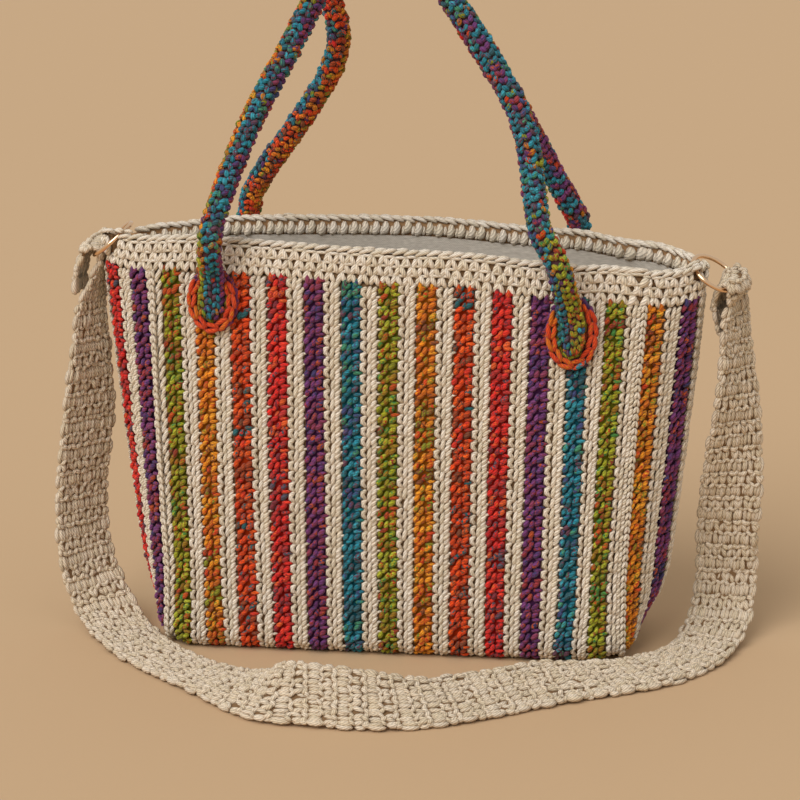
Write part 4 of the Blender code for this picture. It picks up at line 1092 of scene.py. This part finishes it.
def add_lining():
    """The lining's cloth, with its place on the flat cloth in millimetres as its UVs."""
    rows = lining_grid()
    count, columns = rows.shape[:2]
    mesh = bpy.data.meshes.new("lining_cloth")
    mesh.from_pydata(rows.reshape(-1, 3).tolist(), [], round_faces(count, columns))
    step = lengths_along(rows[0])[-1] / MM / (columns - 1)
    drop = lengths_along(rows[:, 0]) / MM
    uvs = [((k + right) * step, drop[row + below])
           for row in range(count - 1) for k in range(columns)
           for right, below in ((0, 0), (1, 0), (1, 1), (0, 1))]
    layer = mesh.uv_layers.new(name="cloth")
    layer.data.foreach_set("uv", np.array(uvs, np.float32).ravel())
    lining = add_piece("lining_cloth", mesh, GREY_COTTON, ["lining"])
    weld(lining)
    lining.data.shade_smooth()
    return lining


# Cut flat, the lining is one strip round the bag and a floor
add_lining()


# Places on the front and back walls, for what is sewn to them

def wall_places(x, heights, side, lift):
    """Places on the front or back wall at x and a height, and the wall's normal."""
    x, heights = np.broadcast_arrays(np.asarray(x, float), np.asarray(heights, float))
    low, high = (0.0, FRONT_PAIRS) if side < 0 else (HALF_PAIRS + FRONT_PAIRS, HALF_PAIRS)
    low, high = np.full(x.shape, float(low)), np.full(x.shape, float(high))
    for _ in range(30):
        middle = (low + high) / 2
        left = section(middle, heights)[..., 0] < x
        low, high = np.where(left, middle, low), np.where(left, high, middle)
    pairs = (low + high) / 2
    out = outward(pairs, heights)
    return section(pairs, heights) + out * lift, out


# Each pad: x, height, half height, wall and how far the handle comes in beside it
PADS = {
    "front_left": (-0.1100, 0.2220, 0.0200, -1, 0.0015),
    "front_right": (0.1065, 0.2080, 0.0225, -1, -0.0030),
    "back_left": (-0.1060, 0.2210, 0.0205, 1, -0.0040),
    "back_right": (0.1060, 0.2200, 0.0205, 1, -0.0040),
}
PATCH_HALF_WIDTH = 0.0160
PAD_LIFT = 0.0013
PAD_THICKNESS = 0.0032
ROPE_STITCH = stitch(
    ((1.0, -4.8, -0.2), (1.4, 0.2, 1.5), (2.8, 4.8, 0.2), 1.5),
)
EDGING_SHADES = [linear(c) for c in ("#DC4A20", "#E2552A", "#D03F1E", "#D8701E")]
CHAIN_STITCH = stitch(
    ((0.8, -4.6, -0.3), (-0.2, 0.2, 1.6), (2.3, 5.4, 0.7), 1.6),
    ((4.2, -4.6, -0.3), (5.2, 0.2, 1.6), (2.7, 5.4, 0.7), 1.6),
)
# The rounds of rope on a pad: how far in from its edge and how high each lies
PAD_ROUNDS = ((0.0016, 0.0008, "purple"), (0.0044, 0.0018, "orange"),
              (0.0075, 0.0018, "green"), (0.0110, 0.0018, "teal"))
# The rings of its domed core, as shares of its size and heights
PAD_DOME = ((0.94, -0.0004), (0.97, 0.0008), (0.85, 0.0022), (0.4, 0.0026))
PAD_SIDES = 24
EDGING_INSET = 0.0036
EDGING_RISE = 0.0012
EDGING_OPENING = 96


def oval_line(place, half_width, half_height, lift, opening=0.0, count=90):
    """A line round a pad, open at its top by a number of degrees."""
    start = math.radians(90 + opening / 2)
    angles = start + np.linspace(0, math.radians(360 - opening), count)
    x, height, _, side, _ = place
    return wall_places(x + half_width * np.cos(angles), height + half_height * np.sin(angles),
                       side, lift)


def lay_on_line(line, normals, pattern, pitch, width_mm, stray_mm):
    origins, along, out = line_places(line, normals, pitch)
    out = unit(out)
    across = unit(np.cross(along, out)) * width_mm * MM
    return lay(pattern, origins, across, along, out, width_mm, stray_mm)


def add_pad(name, place):
    """The oval pad under a handle end: rounds of dyed rope over a domed core."""
    node = name + "_patch"
    parts = []
    for inset, lift, shade in PAD_ROUNDS:
        line, out = oval_line(place, PATCH_HALF_WIDTH - inset, place[2] - inset,
                              PAD_LIFT + lift)
        beads, sizes = lay_on_line(line, out, ROPE_STITCH, 0.0066, 3.8, 0.08)
        parts.append((beads, *yarn_colours(shade, len(beads), 1), sizes))
    mesh = yarn_mesh(name + "_rounds", *joined(parts))
    add_piece(node + "_rounds", mesh, DYED_COTTON, [node])
    rings = [oval_line(place, PATCH_HALF_WIDTH * share, place[2] * share, PAD_LIFT + lift,
                       count=PAD_SIDES + 1)[0][:-1] for share, lift in PAD_DOME]
    mesh = tube_mesh(node + "_core", np.array(rings))
    # Painted shade: the core is the purple at half its brightness, for the shade between the
    # rounds
    colour_faces(mesh, YARN_SHADES["purple"][2] * 0.5)
    mesh.shade_smooth()
    add_piece(node + "_core", mesh, INNER_CLOTH_IN_PAINTED_SHADE, [node])


def add_edging(name, place):
    """Orange chain stitch that holds the handle's end down, with a few teal strays."""
    node = name + "_edging"
    line, out = oval_line(place, PATCH_HALF_WIDTH - EDGING_INSET, place[2] - EDGING_INSET,
                          PAD_LIFT + PAD_THICKNESS + EDGING_RISE, opening=EDGING_OPENING)
    beads, sizes = lay_on_line(line, out, CHAIN_STITCH, 0.0078, 5.0, 0.07)
    shades = np.array(EDGING_SHADES)
    colours, flecks = (shades[seeded.integers(0, len(shades), len(beads))] for _ in range(2))
    stray = seeded.random(len(beads)) < 0.07
    colours[stray] = YARN_SHADES["teal"][0]
    mesh = yarn_mesh(node + "_chain", beads, colours, flecks, sizes)
    add_piece(node + "_chain", mesh, DYED_COTTON, [node])


for pad_name, pad_place in PADS.items():
    add_pad(pad_name, pad_place)
    add_edging(pad_name, pad_place)


# Handles

HANDLE_RADIUS = 0.0076
FLAT_HALF_WIDTH = 0.0086
FLAT_HALF_THICKNESS = 0.0034
HANDLE_END_SPOTS = ((0.016, 0.0032, 1.0), (0.004, 0.0, 0.25), (-0.0115, 0.0, 0.0))
FRONT_HANDLE_ROUTE = (
    (-109.5, -57, 254), (-108, -53, 270), (-98, -44, 302), (-84, -35, 336), (-66, -28, 370),
    (-50, -22, 402), (-36, -18, 426), (-10, -16, 443), (16, -16, 430), (30, -17, 404),
    (46, -19, 382), (61, -23, 358), (73, -29, 337), (80, -36, 315), (84, -44, 291),
    (88, -51, 270), (99, -57, 251),
)
BACK_HANDLE_ROUTE = (
    (-106, 57, 256), (-103, 52, 270), (-91, 43, 290), (-76, 34, 310), (-60, 27, 333),
    (-47, 22, 354), (-41, 18, 376), (-45, 15, 398), (-44, 14, 422), (-34, 13, 442),
    (-17, 13, 452), (0, 14, 444), (17, 15, 418), (36, 19, 386), (57, 26, 351),
    (72, 34, 324), (85, 43, 298), (99, 51, 271), (106, 57, 255),
)
# The yarns of each of the seven rows round a handle, from its left end to its right, by
# letter: rows 0 to 3 show at the front, on the left leg from right to left
YARN_LETTERS = {"G": "green", "Y": "yellow", "O": "orange", "R": "red", "P": "purple",
                "T": "teal"}
FRONT_HANDLE_ROWS = ("PPTPPPPT", "TTPTTTTT", "TTTPTPTG", "GYTGTTTG",
                     "GYGOGTGY", "OROROPTR", "POPROORP")
BACK_HANDLE_ROWS = ("TTTTOTPT", "PTGOROTT", "OPTOYROT", "GGGGGOTO",
                    "YOYORPTR", "OYOOTTTP", "TOTRPTPT")
HANDLE_STITCH = stitch(
    ((0.2, -1.7, -0.3), (1.4, 0.8, 2.2), (3.8, 1.5, 0.3), 1.85, 1.6),
    ((6.2, -1.7, -0.3), (5.2, 0.9, 2.1), (3.0, 1.6, 0.3), 1.85, 1.6),
)
HANDLE_ROW = 0.0046
HANDLE_MM = 6.4
HANDLE_STRAY = 0.34
# How far under a handle's surface its stitches stand and its core lies, at its sides
# and at its faces
STITCH_SINK = (0.0026, 0.0022)
CORE_SINK = (0.0026, 0.0021)
CORE_RINGS = 110
CORE_SIDES = 12
# How often a bead of a handle is of another yarn, and how much darker it is then
HANDLE_OTHERS = 0.16
OTHER_DARKER = 0.68


def smooth_path(stops, spacing):
    """Places at an even spacing on a smooth curve through the stops."""
    stops = [np.array(stop, float) for stop in stops]
    stops = [2 * stops[0] - stops[1]] + stops + [2 * stops[-1] - stops[-2]]
    dense = []
    for a, b, c, d in zip(stops, stops[1:], stops[2:], stops[3:]):
        for step in range(12):
            t = step / 12
            dense.append(0.5 * (2 * b + (c - a) * t + (2 * a - 5 * b + 4 * c - d) * t ** 2
                                + (3 * b - a - 3 * c + d) * t ** 3))
    dense.append(stops[-2])
    dense = np.array(dense)
    lengths = lengths_along(dense[:, :3])
    places = np.linspace(0, lengths[-1], max(2, round(lengths[-1] / spacing)) + 1)
    return sampled(dense, lengths, places)


def handle_end(place):
    x, height, _, side, aside = place
    ends = []
    for up, rise, share in HANDLE_END_SPOTS:
        lift = PAD_THICKNESS + FLAT_HALF_THICKNESS + rise + PAD_LIFT
        spot, _ = wall_places(x + aside * share, height + up, side, lift)
        ends.append(tuple(spot / MM))
    return ends


def handle_line(left, right, route):
    """Middle of a handle at 1 mm steps, its sideways and facing directions."""
    stops = handle_end(PADS[left])[::-1] + list(route) + handle_end(PADS[right])
    line = smooth_path(stops, 1.0) * MM
    for _ in range(4):
        line[1:-1] = (line[:-2] + 2 * line[1:-1] + line[2:]) / 4
    tangent = unit(np.gradient(line, axis=0))
    face = np.array((0.0, PADS[left][3], 0.0))
    across = unit(np.cross(tangent, face))
    return line, tangent, across, np.cross(across, tangent)


def handle_size(spots, total):
    """Half width and half thickness of a handle, pressed flat towards its ends."""
    from_end = np.minimum(spots, total - spots)
    roundness = np.clip((from_end - 0.018) / 0.036, 0, 1)
    wide = FLAT_HALF_WIDTH + (HANDLE_RADIUS - FLAT_HALF_WIDTH) * roundness
    thick = FLAT_HALF_THICKNESS + (HANDLE_RADIUS - FLAT_HALF_THICKNESS) * roundness
    end = np.sqrt(np.clip(from_end / 0.006, 0.25, 1))
    return wide * end, thick


def handle_colours(yarns, count):
    """Two colours for each bead of a row, which goes from yarn to yarn with strays."""
    per_stitch = len(HANDLE_STITCH[0])
    runs = [yarn_colours(YARN_LETTERS[yarn], count, per_stitch) for yarn in yarns]
    along = np.arange(count) / count + seeded.normal(0, 0.05, count)
    turn = np.repeat(along * len(yarns), per_stitch).astype(int).clip(0, len(yarns) - 1)
    colours, flecks = (np.choose(turn[:, None], [run[k] for run in runs]) for k in range(2))
    stray = seeded.random(len(colours)) < HANDLE_OTHERS
    others = np.array([YARN_SHADES[k][0] for k in ("orange", "purple", "green", "yellow")])
    colours[stray] = others[seeded.integers(0, len(others), stray.sum())] * OTHER_DARKER
    return colours, flecks


def add_handle(name, left, right, route, rows):
    """A handle's rows of stitches, side by side round it, over a shaded core."""
    line, tangent, across, face = handle_line(left, right, route)
    lengths = lengths_along(line)
    count = round(lengths[-1] / HANDLE_ROW)
    parts = []
    for number, yarns in enumerate(rows):
        spots = (np.arange(count) + 0.5 + 0.5 * (number % 2)) * lengths[-1] / count
        spots = np.clip(spots, 0, lengths[-1] - 0.001)
        middle, side, front, ahead = (sampled(values, lengths, spots)
                                      for values in (line, across, face, tangent))
        wide, thick = (size[:, None] - sink for size, sink in
                       zip(handle_size(spots, lengths[-1]), STITCH_SINK))
        angle = 2 * math.pi * number / len(rows) + 0.12 * np.sin(spots * 23)
        cos, sin = np.cos(angle)[:, None], np.sin(angle)[:, None]
        origins = middle + side * cos * wide + front * sin * thick
        out = unit(side * cos / wide + front * sin / thick)
        girth = math.pi * (wide + thick + 0.0025)
        sideways = unit(np.cross(ahead, out)) * girth / len(rows)
        beads, sizes = lay(HANDLE_STITCH, origins, sideways, ahead, out, HANDLE_MM,
                           HANDLE_STRAY)
        parts.append((beads, *handle_colours(yarns, count), sizes))
    mesh = yarn_mesh(name + "_crochet", *joined(parts))
    add_piece(name + "_crochet", mesh, DYED_COTTON, [name])
    add_handle_core(name, line, across, face, lengths)


def add_handle_core(name, line, across, face, lengths):
    pick = np.linspace(2, len(line) - 3, CORE_RINGS).astype(int)
    wide, thick = ((size - sink)[:, None, None] for size, sink in
                   zip(handle_size(lengths[pick], lengths[-1]), CORE_SINK))
    angles = np.linspace(0, 2 * math.pi, CORE_SIDES, endpoint=False)[None, :, None]
    rings = (line[pick][:, None] + across[pick][:, None] * np.cos(angles) * wide
             + face[pick][:, None] * np.sin(angles) * thick)
    mesh = tube_mesh(name + "_core", rings)
    # Painted shade: a dark mix of purple and teal, for the shade seen between the stitches
    colour_faces(mesh, (YARN_SHADES["purple"][4] + YARN_SHADES["teal"][3]) * 0.28)
    mesh.shade_smooth()
    add_piece(name + "_core", mesh, INNER_CLOTH_IN_PAINTED_SHADE, [name])


add_handle("front_handle", "front_left", "front_right", FRONT_HANDLE_ROUTE,
           FRONT_HANDLE_ROWS)
add_handle("back_handle", "back_left", "back_right", BACK_HANDLE_ROUTE, BACK_HANDLE_ROWS)


# Rings

def plated_material(name):
    """Pale rose gold plate on brass, polished: bright with a warm tint."""
    material, tree, shader = new_material(name, {"Base Color": (*linear("#F3CDA6"), 1.0),
                                                 "Metallic": 1.0})
    place = add_node(tree, "ShaderNodeTexCoord")
    wear = add_node(tree, "ShaderNodeTexNoise", values={"Scale": 900.0, "Detail": 3.0},
                    links={"Vector": place.outputs["Object"]})
    rough = add_node(tree, "ShaderNodeMapRange", values={"To Min": 0.10, "To Max": 0.2},
                     links={"Value": wear.outputs[0]})
    tree.links.new(rough.outputs[0], shader.inputs["Roughness"])
    return material


POLISHED_PLATE = plated_material("pale_gold_plate")


def add_ring(side):
    """The ring, in smooth wire."""
    centre, across, lean = (Vector(v) for v in ring_axes(side))
    turn = Matrix((across, lean, across.cross(lean))).transposed()
    deselect_all()
    bpy.ops.mesh.primitive_torus_add(major_radius=RING_RADIUS, minor_radius=RING_WIRE_RADIUS,
                                     major_segments=96, minor_segments=18,
                                     location=centre, rotation=turn.to_euler())
    ring = bpy.context.object
    ring.name = side + "_ring_wire"
    bpy.ops.object.transform_apply(location=True, rotation=True, scale=True)
    bpy.ops.object.shade_smooth()
    ring.data.materials.append(POLISHED_PLATE)
    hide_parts(side + "_ring")
    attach(ring, side + "_ring")


add_ring("left")
add_ring("right")


# Shoulder strap

STRAP_LEFT_FLAP = ((-203.5, 0, 217, 0.2, 0.97, 0.1, 18), (-203.2, 1, 228, 0.2, 0.97, 0.1, 18),
                   (-200.5, 4, 238, 0.22, 0.95, 0.2, 19))
STRAP_ROUTE = (
    (-190, 4, 233, 0.28, 0.93, 0.2, 17), (-194, 3, 222, 0.4, 0.9, 0.1, 20),
    (-197, 1, 207, 0.55, 0.83, 0.0, 24), (-198, 0, 188, 0.6, 0.8, 0.0, 29),
    (-199, 0, 166, 0.64, 0.77, 0.0, 34), (-201, 0, 140, 0.68, 0.73, 0.0, 38),
    (-204, -1, 112, 0.68, 0.73, 0.0, 38), (-207, -2, 84, 0.68, 0.73, 0.0, 38),
    (-206, -5, 56, 0.7, 0.71, 0.05, 38), (-200, -9, 31, 0.78, 0.6, 0.15, 38),
    (-189, -16, 12, 0.92, 0.35, 0.15, 38), (-176, -33, 4.5, 0.93, 0.38, 0.03, 38),
    (-155, -62, 3, 0.84, 0.54, 0.02, 38), (-127, -91, 3, 0.77, 0.64, 0.03, 38),
    (-98, -117, 5, 0.7, 0.7, 0.13, 38), (-74, -142, 10, 0.6, 0.68, 0.42, 38),
    (-58, -157, 15, 0.25, 0.66, 0.71, 38), (-40, -160, 16, -0.05, 0.66, 0.75, 38),
    (-12, -161, 15, -0.12, 0.7, 0.7, 38), (12, -157, 12.5, -0.24, 0.78, 0.57, 38),
    (39, -146, 9.5, -0.42, 0.8, 0.42, 38), (72, -125, 8.5, -0.5, 0.77, 0.38, 38),
    (99, -106, 8, -0.5, 0.78, 0.36, 38), (130, -88, 6, -0.54, 0.8, 0.22, 38),
    (160, -68, 4.5, -0.68, 0.72, 0.12, 38), (184, -38, 4, -0.9, 0.43, 0.05, 38),
    (196, -8, 6, -0.97, 0.22, 0.03, 38), (203, 14, 18, -0.99, 0.12, 0.0, 38),
    (205, 20, 42, -1.0, 0.03, 0.0, 38), (205, 16, 72, -1.0, 0.05, 0.0, 38),
    (206, 10, 100, -0.99, -0.12, 0.0, 38), (207, 5, 130, -0.9, -0.44, 0.0, 37),
    (207.5, 2, 156, -0.8, -0.6, 0.0, 34), (206.3, 1, 178, -0.7, -0.7, 0.0, 30),
    (205.3, 1, 199, -0.62, -0.78, -0.05, 28), (204.5, 1, 213, -0.55, -0.82, -0.12, 27),
    (204.8, 2, 223, -0.4, -0.86, -0.3, 26),
)
STRAP_RIGHT_FLAP = ((194.5, 4, 222, -0.3, -0.9, -0.3, 19),
                    (196.5, 5, 212, -0.45, -0.87, -0.1, 19),
                    (200.5, 5, 199, -0.5, -0.86, 0.0, 19))
STRAP_THICKNESS = 0.0036
# Painted shade and warm floor bounce: the strap is a little darker and warmer than the bag's
# cream
STRAP_PAINTED_SHADE_AND_BOUNCE = (0.88, 0.84, 0.78)
FOLD_REACH = 0.0046
# Degrees round the wire and how much fuller than its reach the fold stands there
FOLD_TURN = {
    "left": ((165, 1.7), (128, 1.3), (90, 1.0), (52, 1.0), (15, 1.0)),
    "right": ((165, 1.3), (128, 1.05), (90, 0.78), (52, 1.0), (15, 1.2)),
}
# Where the fold lies round each ring, in degrees, and how many millimetres it spreads
# along the wire: the right one is turned over, so that its left edge is in front
STRAP_HOLDS = {"left": (37.0, 28.0), "right": (3.0, -28.0)}
# The strap's rows and the stitches in each, and the grid that it is drawn from: its
# lines from edge to edge, and the millimetres between its stations
STRAP_ROW = 0.0086
STRAP_STITCHES = 6
STRAP_LINES = 9
STATION_STEP = 8.5
# The width of its stitch patterns in millimetres, how far their beads stray, how much
# of the strap they take up, and what the edge loops need at its two sides
STRAP_MM = 6.3
STRAP_STRAY = 0.48
STRAP_FILL = 0.91
STRAP_EDGES = 0.0030
EDGE_MM = 3.0
EDGE_STRAY = 0.42
EDGE_INSET = 0.0017
# The core: its share of the strap's width, half its thickness, and its steps in
# millimetres between rings
STRAP_CORE_WIDTH = 0.86
STRAP_CORE_HALF = 0.0007
STRAP_CORE_STEP = 3
# The strap's rows alternate: posts of three strands with a V across their tops, then
# stitches that spread round small holes
STRAP_POST = stitch(
    ((1.3, -4.8, 0.0), (0.4, -0.4, 1.4), (2.0, 3.9, 0.2), 1.6, 1.8),
    ((4.9, -4.7, 0.0), (5.8, 0.0, 1.4), (4.3, 4.1, 0.2), 1.6, 1.8),
    ((3.1, -4.2, 0.2), (3.2, 0.2, 1.7), (3.0, 3.7, 0.3), 1.4, 1.7),
    ((-0.5, 5.4, 0.3), (1.2, 3.6, 1.9), (3.1, 2.4, 0.3), 1.4, 1.8),
    ((2.9, 2.4, 0.3), (4.9, 3.8, 1.9), (6.7, 5.4, 0.3), 1.4, 1.8),
)
STRAP_HOLE = stitch(
    ((0.3, -4.4, 0.1), (0.9, -1.8, 1.5), (2.6, 2.2, 0.1), 1.8, 1.8),
    ((6.0, -4.2, 0.1), (5.3, -1.8, 1.5), (3.7, 2.4, 0.1), 1.8, 1.8),
    ((-0.6, 1.4, 0.1), (1.2, 3.6, 1.8), (3.4, 4.2, 0.3), 1.8, 1.8),
    ((3.0, 4.2, 0.1), (4.9, 3.4, 1.8), (6.8, 1.6, 0.3), 1.8, 1.8),
)
STRAP_END = stitch(
    ((-0.9, 0.0, 0.0), (3.1, 0.9, 1.0), (7.1, 0.0, 0.0), 1.6, 1.9),
)
STRAP_EDGE_LOOP = stitch(
    ((1.8, -5.6, 0.0), (-1.6, -1.8, 0.4), (0.8, 5.2, 0.0), 1.5, 1.8),
    ((2.8, -4.6, 0.0), (1.6, -0.4, 0.6), (2.0, 4.4, 0.0), 1.4, 1.7),
)
STRAP_EDGE_BUMP = stitch(
    ((2.4, -3.2, 0.0), (-1.2, -0.8, 0.4), (2.0, 2.6, 0.0), 1.7, 1.9),
    ((2.2, 0.6, 0.0), (-0.4, 2.8, 0.4), (2.4, 4.8, 0.0), 1.5, 1.8),
)


def straight_station(stop):
    """Places across the strap at one of its stops, from its left edge to its right."""
    across = unit(np.array(stop[3:6], float))
    shares = np.linspace(-0.5, 0.5, STRAP_LINES)[:, None]
    return np.array(stop[:3], float) + across * shares * stop[6]


def fold_stations(side, turn):
    """Places across the strap as it folds over a ring, spread round the ring's wire."""
    centre, across, lean = ring_axes(side)
    middle, spread = STRAP_HOLDS[side]
    spread = np.linspace(-0.5, 0.5, STRAP_LINES) * spread * MM / RING_RADIUS
    at = (math.radians(middle) + spread)[:, None]
    bow = 1.12 - 0.3 * np.linspace(-1, 1, STRAP_LINES)[:, None] ** 2
    outward_at = across * np.cos(at) + lean * np.sin(at)
    wire = centre + RING_RADIUS * outward_at
    along = lean * np.cos(at) - across * np.sin(at)
    up = unit(UP - along * along[:, 2:3])
    level = unit(np.cross(along, up))
    level = level * np.sign(level[STRAP_LINES // 2, 0])
    stations = []
    for degrees, fuller in FOLD_TURN[side]:
        angle = math.radians(degrees if turn > 0 else 180 - degrees)
        stations.append((wire + (level * math.cos(angle) + up * math.sin(angle))
                         * FOLD_REACH * fuller * bow) / MM)
    return stations


def strap_surface():
    """Places of the strap at 1 mm steps along it and from edge to edge."""
    left, middle, right = (
        [straight_station(stop) for stop in smooth_path(stops, STATION_STEP)]
        for stops in (STRAP_LEFT_FLAP, STRAP_ROUTE, STRAP_RIGHT_FLAP))
    stations = np.array(left + fold_stations("left", 1) + middle
                        + fold_stations("right", -1) + right)
    flat = np.column_stack((stations[:, STRAP_LINES // 2], stations.reshape(len(stations), -1)))
    grid = smooth_path(flat, 1.0)[:, 3:].reshape(-1, STRAP_LINES, 3) * MM
    for _ in range(3):
        grid[1:-1] = (grid[:-2] + 2 * grid[1:-1] + grid[2:]) / 4
    grid[..., 2] = np.maximum(grid[..., 2], STRAP_THICKNESS / 2 + 0.0004)
    return grid


def strap_frame(grid, spots, share):
    """Place, sideways, forward and facing directions on the strap at a share across."""
    lengths = lengths_along(grid[:, STRAP_LINES // 2])
    column = (share + 0.5) * (STRAP_LINES - 1)
    low = min(int(column), STRAP_LINES - 2)
    line = grid[:, low] * (low + 1 - column) + grid[:, low + 1] * (column - low)
    wide = (grid[:, low + 1] - grid[:, low]) * (STRAP_LINES - 1)
    middle, side, ahead = (sampled(values, lengths, spots)
                           for values in (line, wide, np.gradient(line, lengths, axis=0)))
    return middle, side, ahead, unit(np.cross(ahead, side))


def stitch_shares(fill):
    """Where across the strap the stitches of a row stand."""
    return ((np.arange(STRAP_STITCHES) + 0.5) / STRAP_STITCHES - 0.5) * fill


def add_strap():
    grid = strap_surface()
    total = lengths_along(grid[:, STRAP_LINES // 2])[-1]
    count = round(total / STRAP_ROW)
    places = (np.arange(count) + 0.5) * total / count
    parts = []
    for row, post, edging in ((0, STRAP_POST, STRAP_EDGE_LOOP),
                              (1, STRAP_HOLE, STRAP_EDGE_BUMP)):
        spots = places[row::2]
        for share in stitch_shares(STRAP_FILL):
            middle, side, ahead, front = strap_frame(grid, spots, share)
            wide = np.linalg.norm(side, axis=1, keepdims=True) - STRAP_EDGES
            parts.append(lay(post, middle, unit(side) * wide / STRAP_STITCHES, ahead, front,
                             STRAP_MM, STRAP_STRAY))
        for edge in (-1, 1):
            middle, side, ahead, front = strap_frame(grid, spots, 0.5 * edge)
            inward = -unit(side) * edge
            parts.append(lay(edging, middle + inward * EDGE_INSET, inward * EDGE_MM * MM,
                             ahead, front, EDGE_MM, EDGE_STRAY))
    ends = np.array((0.0006, total - 0.0006))
    for share in stitch_shares(0.95):
        middle, side, ahead, front = strap_frame(grid, ends, share)
        parts.append(lay(STRAP_END, middle, side / STRAP_STITCHES, ahead, front, STRAP_MM,
                         0.2))
    beads, sizes = joined(parts)
    beads[..., 2] = np.maximum(beads[..., 2], FLOOR_GAP)
    left = beads[:, :, 0].mean(axis=1) < 0
    for name, keep, body in (("left", left, "left_ring"), ("right", ~left, "right_ring")):
        # The cream takes the strap's painted shade and painted warm bounce light
        shades = [shade * STRAP_PAINTED_SHADE_AND_BOUNCE for shade in cream_colours(int(keep.sum()))]
        mesh = yarn_mesh("strap_" + name + "_crochet", beads[keep], *shades, sizes[keep])
        piece = add_piece("strap_" + name + "_crochet", mesh, CREAM_COTTON,
                          ["shoulder_strap"], body=None)
        blend_to_ring(piece)
    add_strap_core(grid)


def blend_to_ring(piece):
    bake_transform(piece)


def strap_core_shades(rings):
    """Painted shade: dark between the stitches in front; behind, the rows' flat backs in dimmed
    cream.
    """
    step = STRAP_CORE_STEP * MM / STRAP_ROW
    spots = np.arange(rings - 1)[:, None] * step
    across = np.arange(2 * STRAP_LINES)[None]
    # Painted shade on the backs: darker at the joins between rows, with a ripple of shade across
    # them
    between = np.floor(spots + step) > np.floor(spots)
    level = np.where(between, 0.34, 0.6) * (0.84 + 0.16 * np.cos(across * 2.4 + spots * 4.7))
    back = (across < STRAP_LINES - 1)[..., None]
    dark = CREAM[1] * CREAM_GAP_PAINTED_SHADE
    shades = np.where(back, CREAM[1] * level[..., None], dark)
    return np.concatenate((shades.reshape(-1, 3), [dark] * 2))


def add_strap_core(grid):
    """The dense middle of the strap, seen only between its stitches."""
    centre = grid.mean(axis=1, keepdims=True)
    inside = (grid - centre) * STRAP_CORE_WIDTH + centre
    normal = unit(np.cross(np.gradient(inside, axis=0), np.gradient(inside, axis=1)))
    normal = normal * STRAP_CORE_HALF
    rings = np.concatenate((inside - normal, (inside + normal)[:, ::-1]), axis=1)
    middle = grid[:, STRAP_LINES // 2, 0]
    for name, keep, body in (("left", middle < 0.001, "left_ring"),
                             ("right", middle > -0.001, "right_ring")):
        kept = rings[np.flatnonzero(keep)[2:-2:STRAP_CORE_STEP]]
        mesh = tube_mesh("strap_" + name + "_core", kept)
        colour_faces(mesh, strap_core_shades(len(kept)))
        piece = add_piece("strap_" + name + "_core", mesh, INNER_CLOTH_IN_PAINTED_SHADE,
                          ["shoulder_strap"], body=None)
        blend_to_ring(piece)


add_strap()


# Camera, floor and light

def add_aimed(name, data, location, target):
    """Adds a camera or a lamp that looks at a target."""
    thing = bpy.data.objects.new(name, data)
    bpy.context.scene.collection.objects.link(thing)
    thing.location = location
    direction = Vector(target) - thing.location
    thing.rotation_euler = direction.to_track_quat("-Z", "Y").to_euler()
    return thing


def add_camera():
    camera = bpy.data.cameras.new("camera")
    camera.lens = 111.4
    camera.sensor_width = 36.0
    bpy.context.scene.camera = add_aimed("camera", camera, (0.1763, -1.4879, 0.5441),
                                         (-0.0014, 0.0, 0.1516))


def add_window_light():
    """Broad soft light from the upper left, as even as that of a large window."""
    lamp = bpy.data.lights.new("window_light", "SUN")
    lamp.energy = 1.9
    lamp.angle = math.radians(45)
    add_aimed("window_light", lamp, (-0.42, -0.62, 0.72), (0.0, 0.0, 0.0))


def add_floor():
    deselect_all()
    bpy.ops.mesh.primitive_plane_add(size=12.0, location=(0.0, 0.0, 0.0))
    floor = bpy.context.object
    floor.name = "floor"
    material = new_material("warm_paper_floor", {"Base Color": (*linear("#C8A985"), 1.0),
                                                 "Roughness": 0.9,
                                                 "Specular IOR Level": 0.1})[0]
    floor.data.materials.append(material)


def set_world():
    world = bpy.data.worlds.new("studio")
    bpy.context.scene.world = world
    world.use_nodes = True
    background = world.node_tree.nodes["Background"]
    background.inputs["Color"].default_value = (1.0, 0.97, 0.93, 1.0)
    background.inputs["Strength"].default_value = 0.57
    bpy.context.scene.view_settings.view_transform = "Standard"


add_camera()
add_window_light()
add_floor()
set_world()
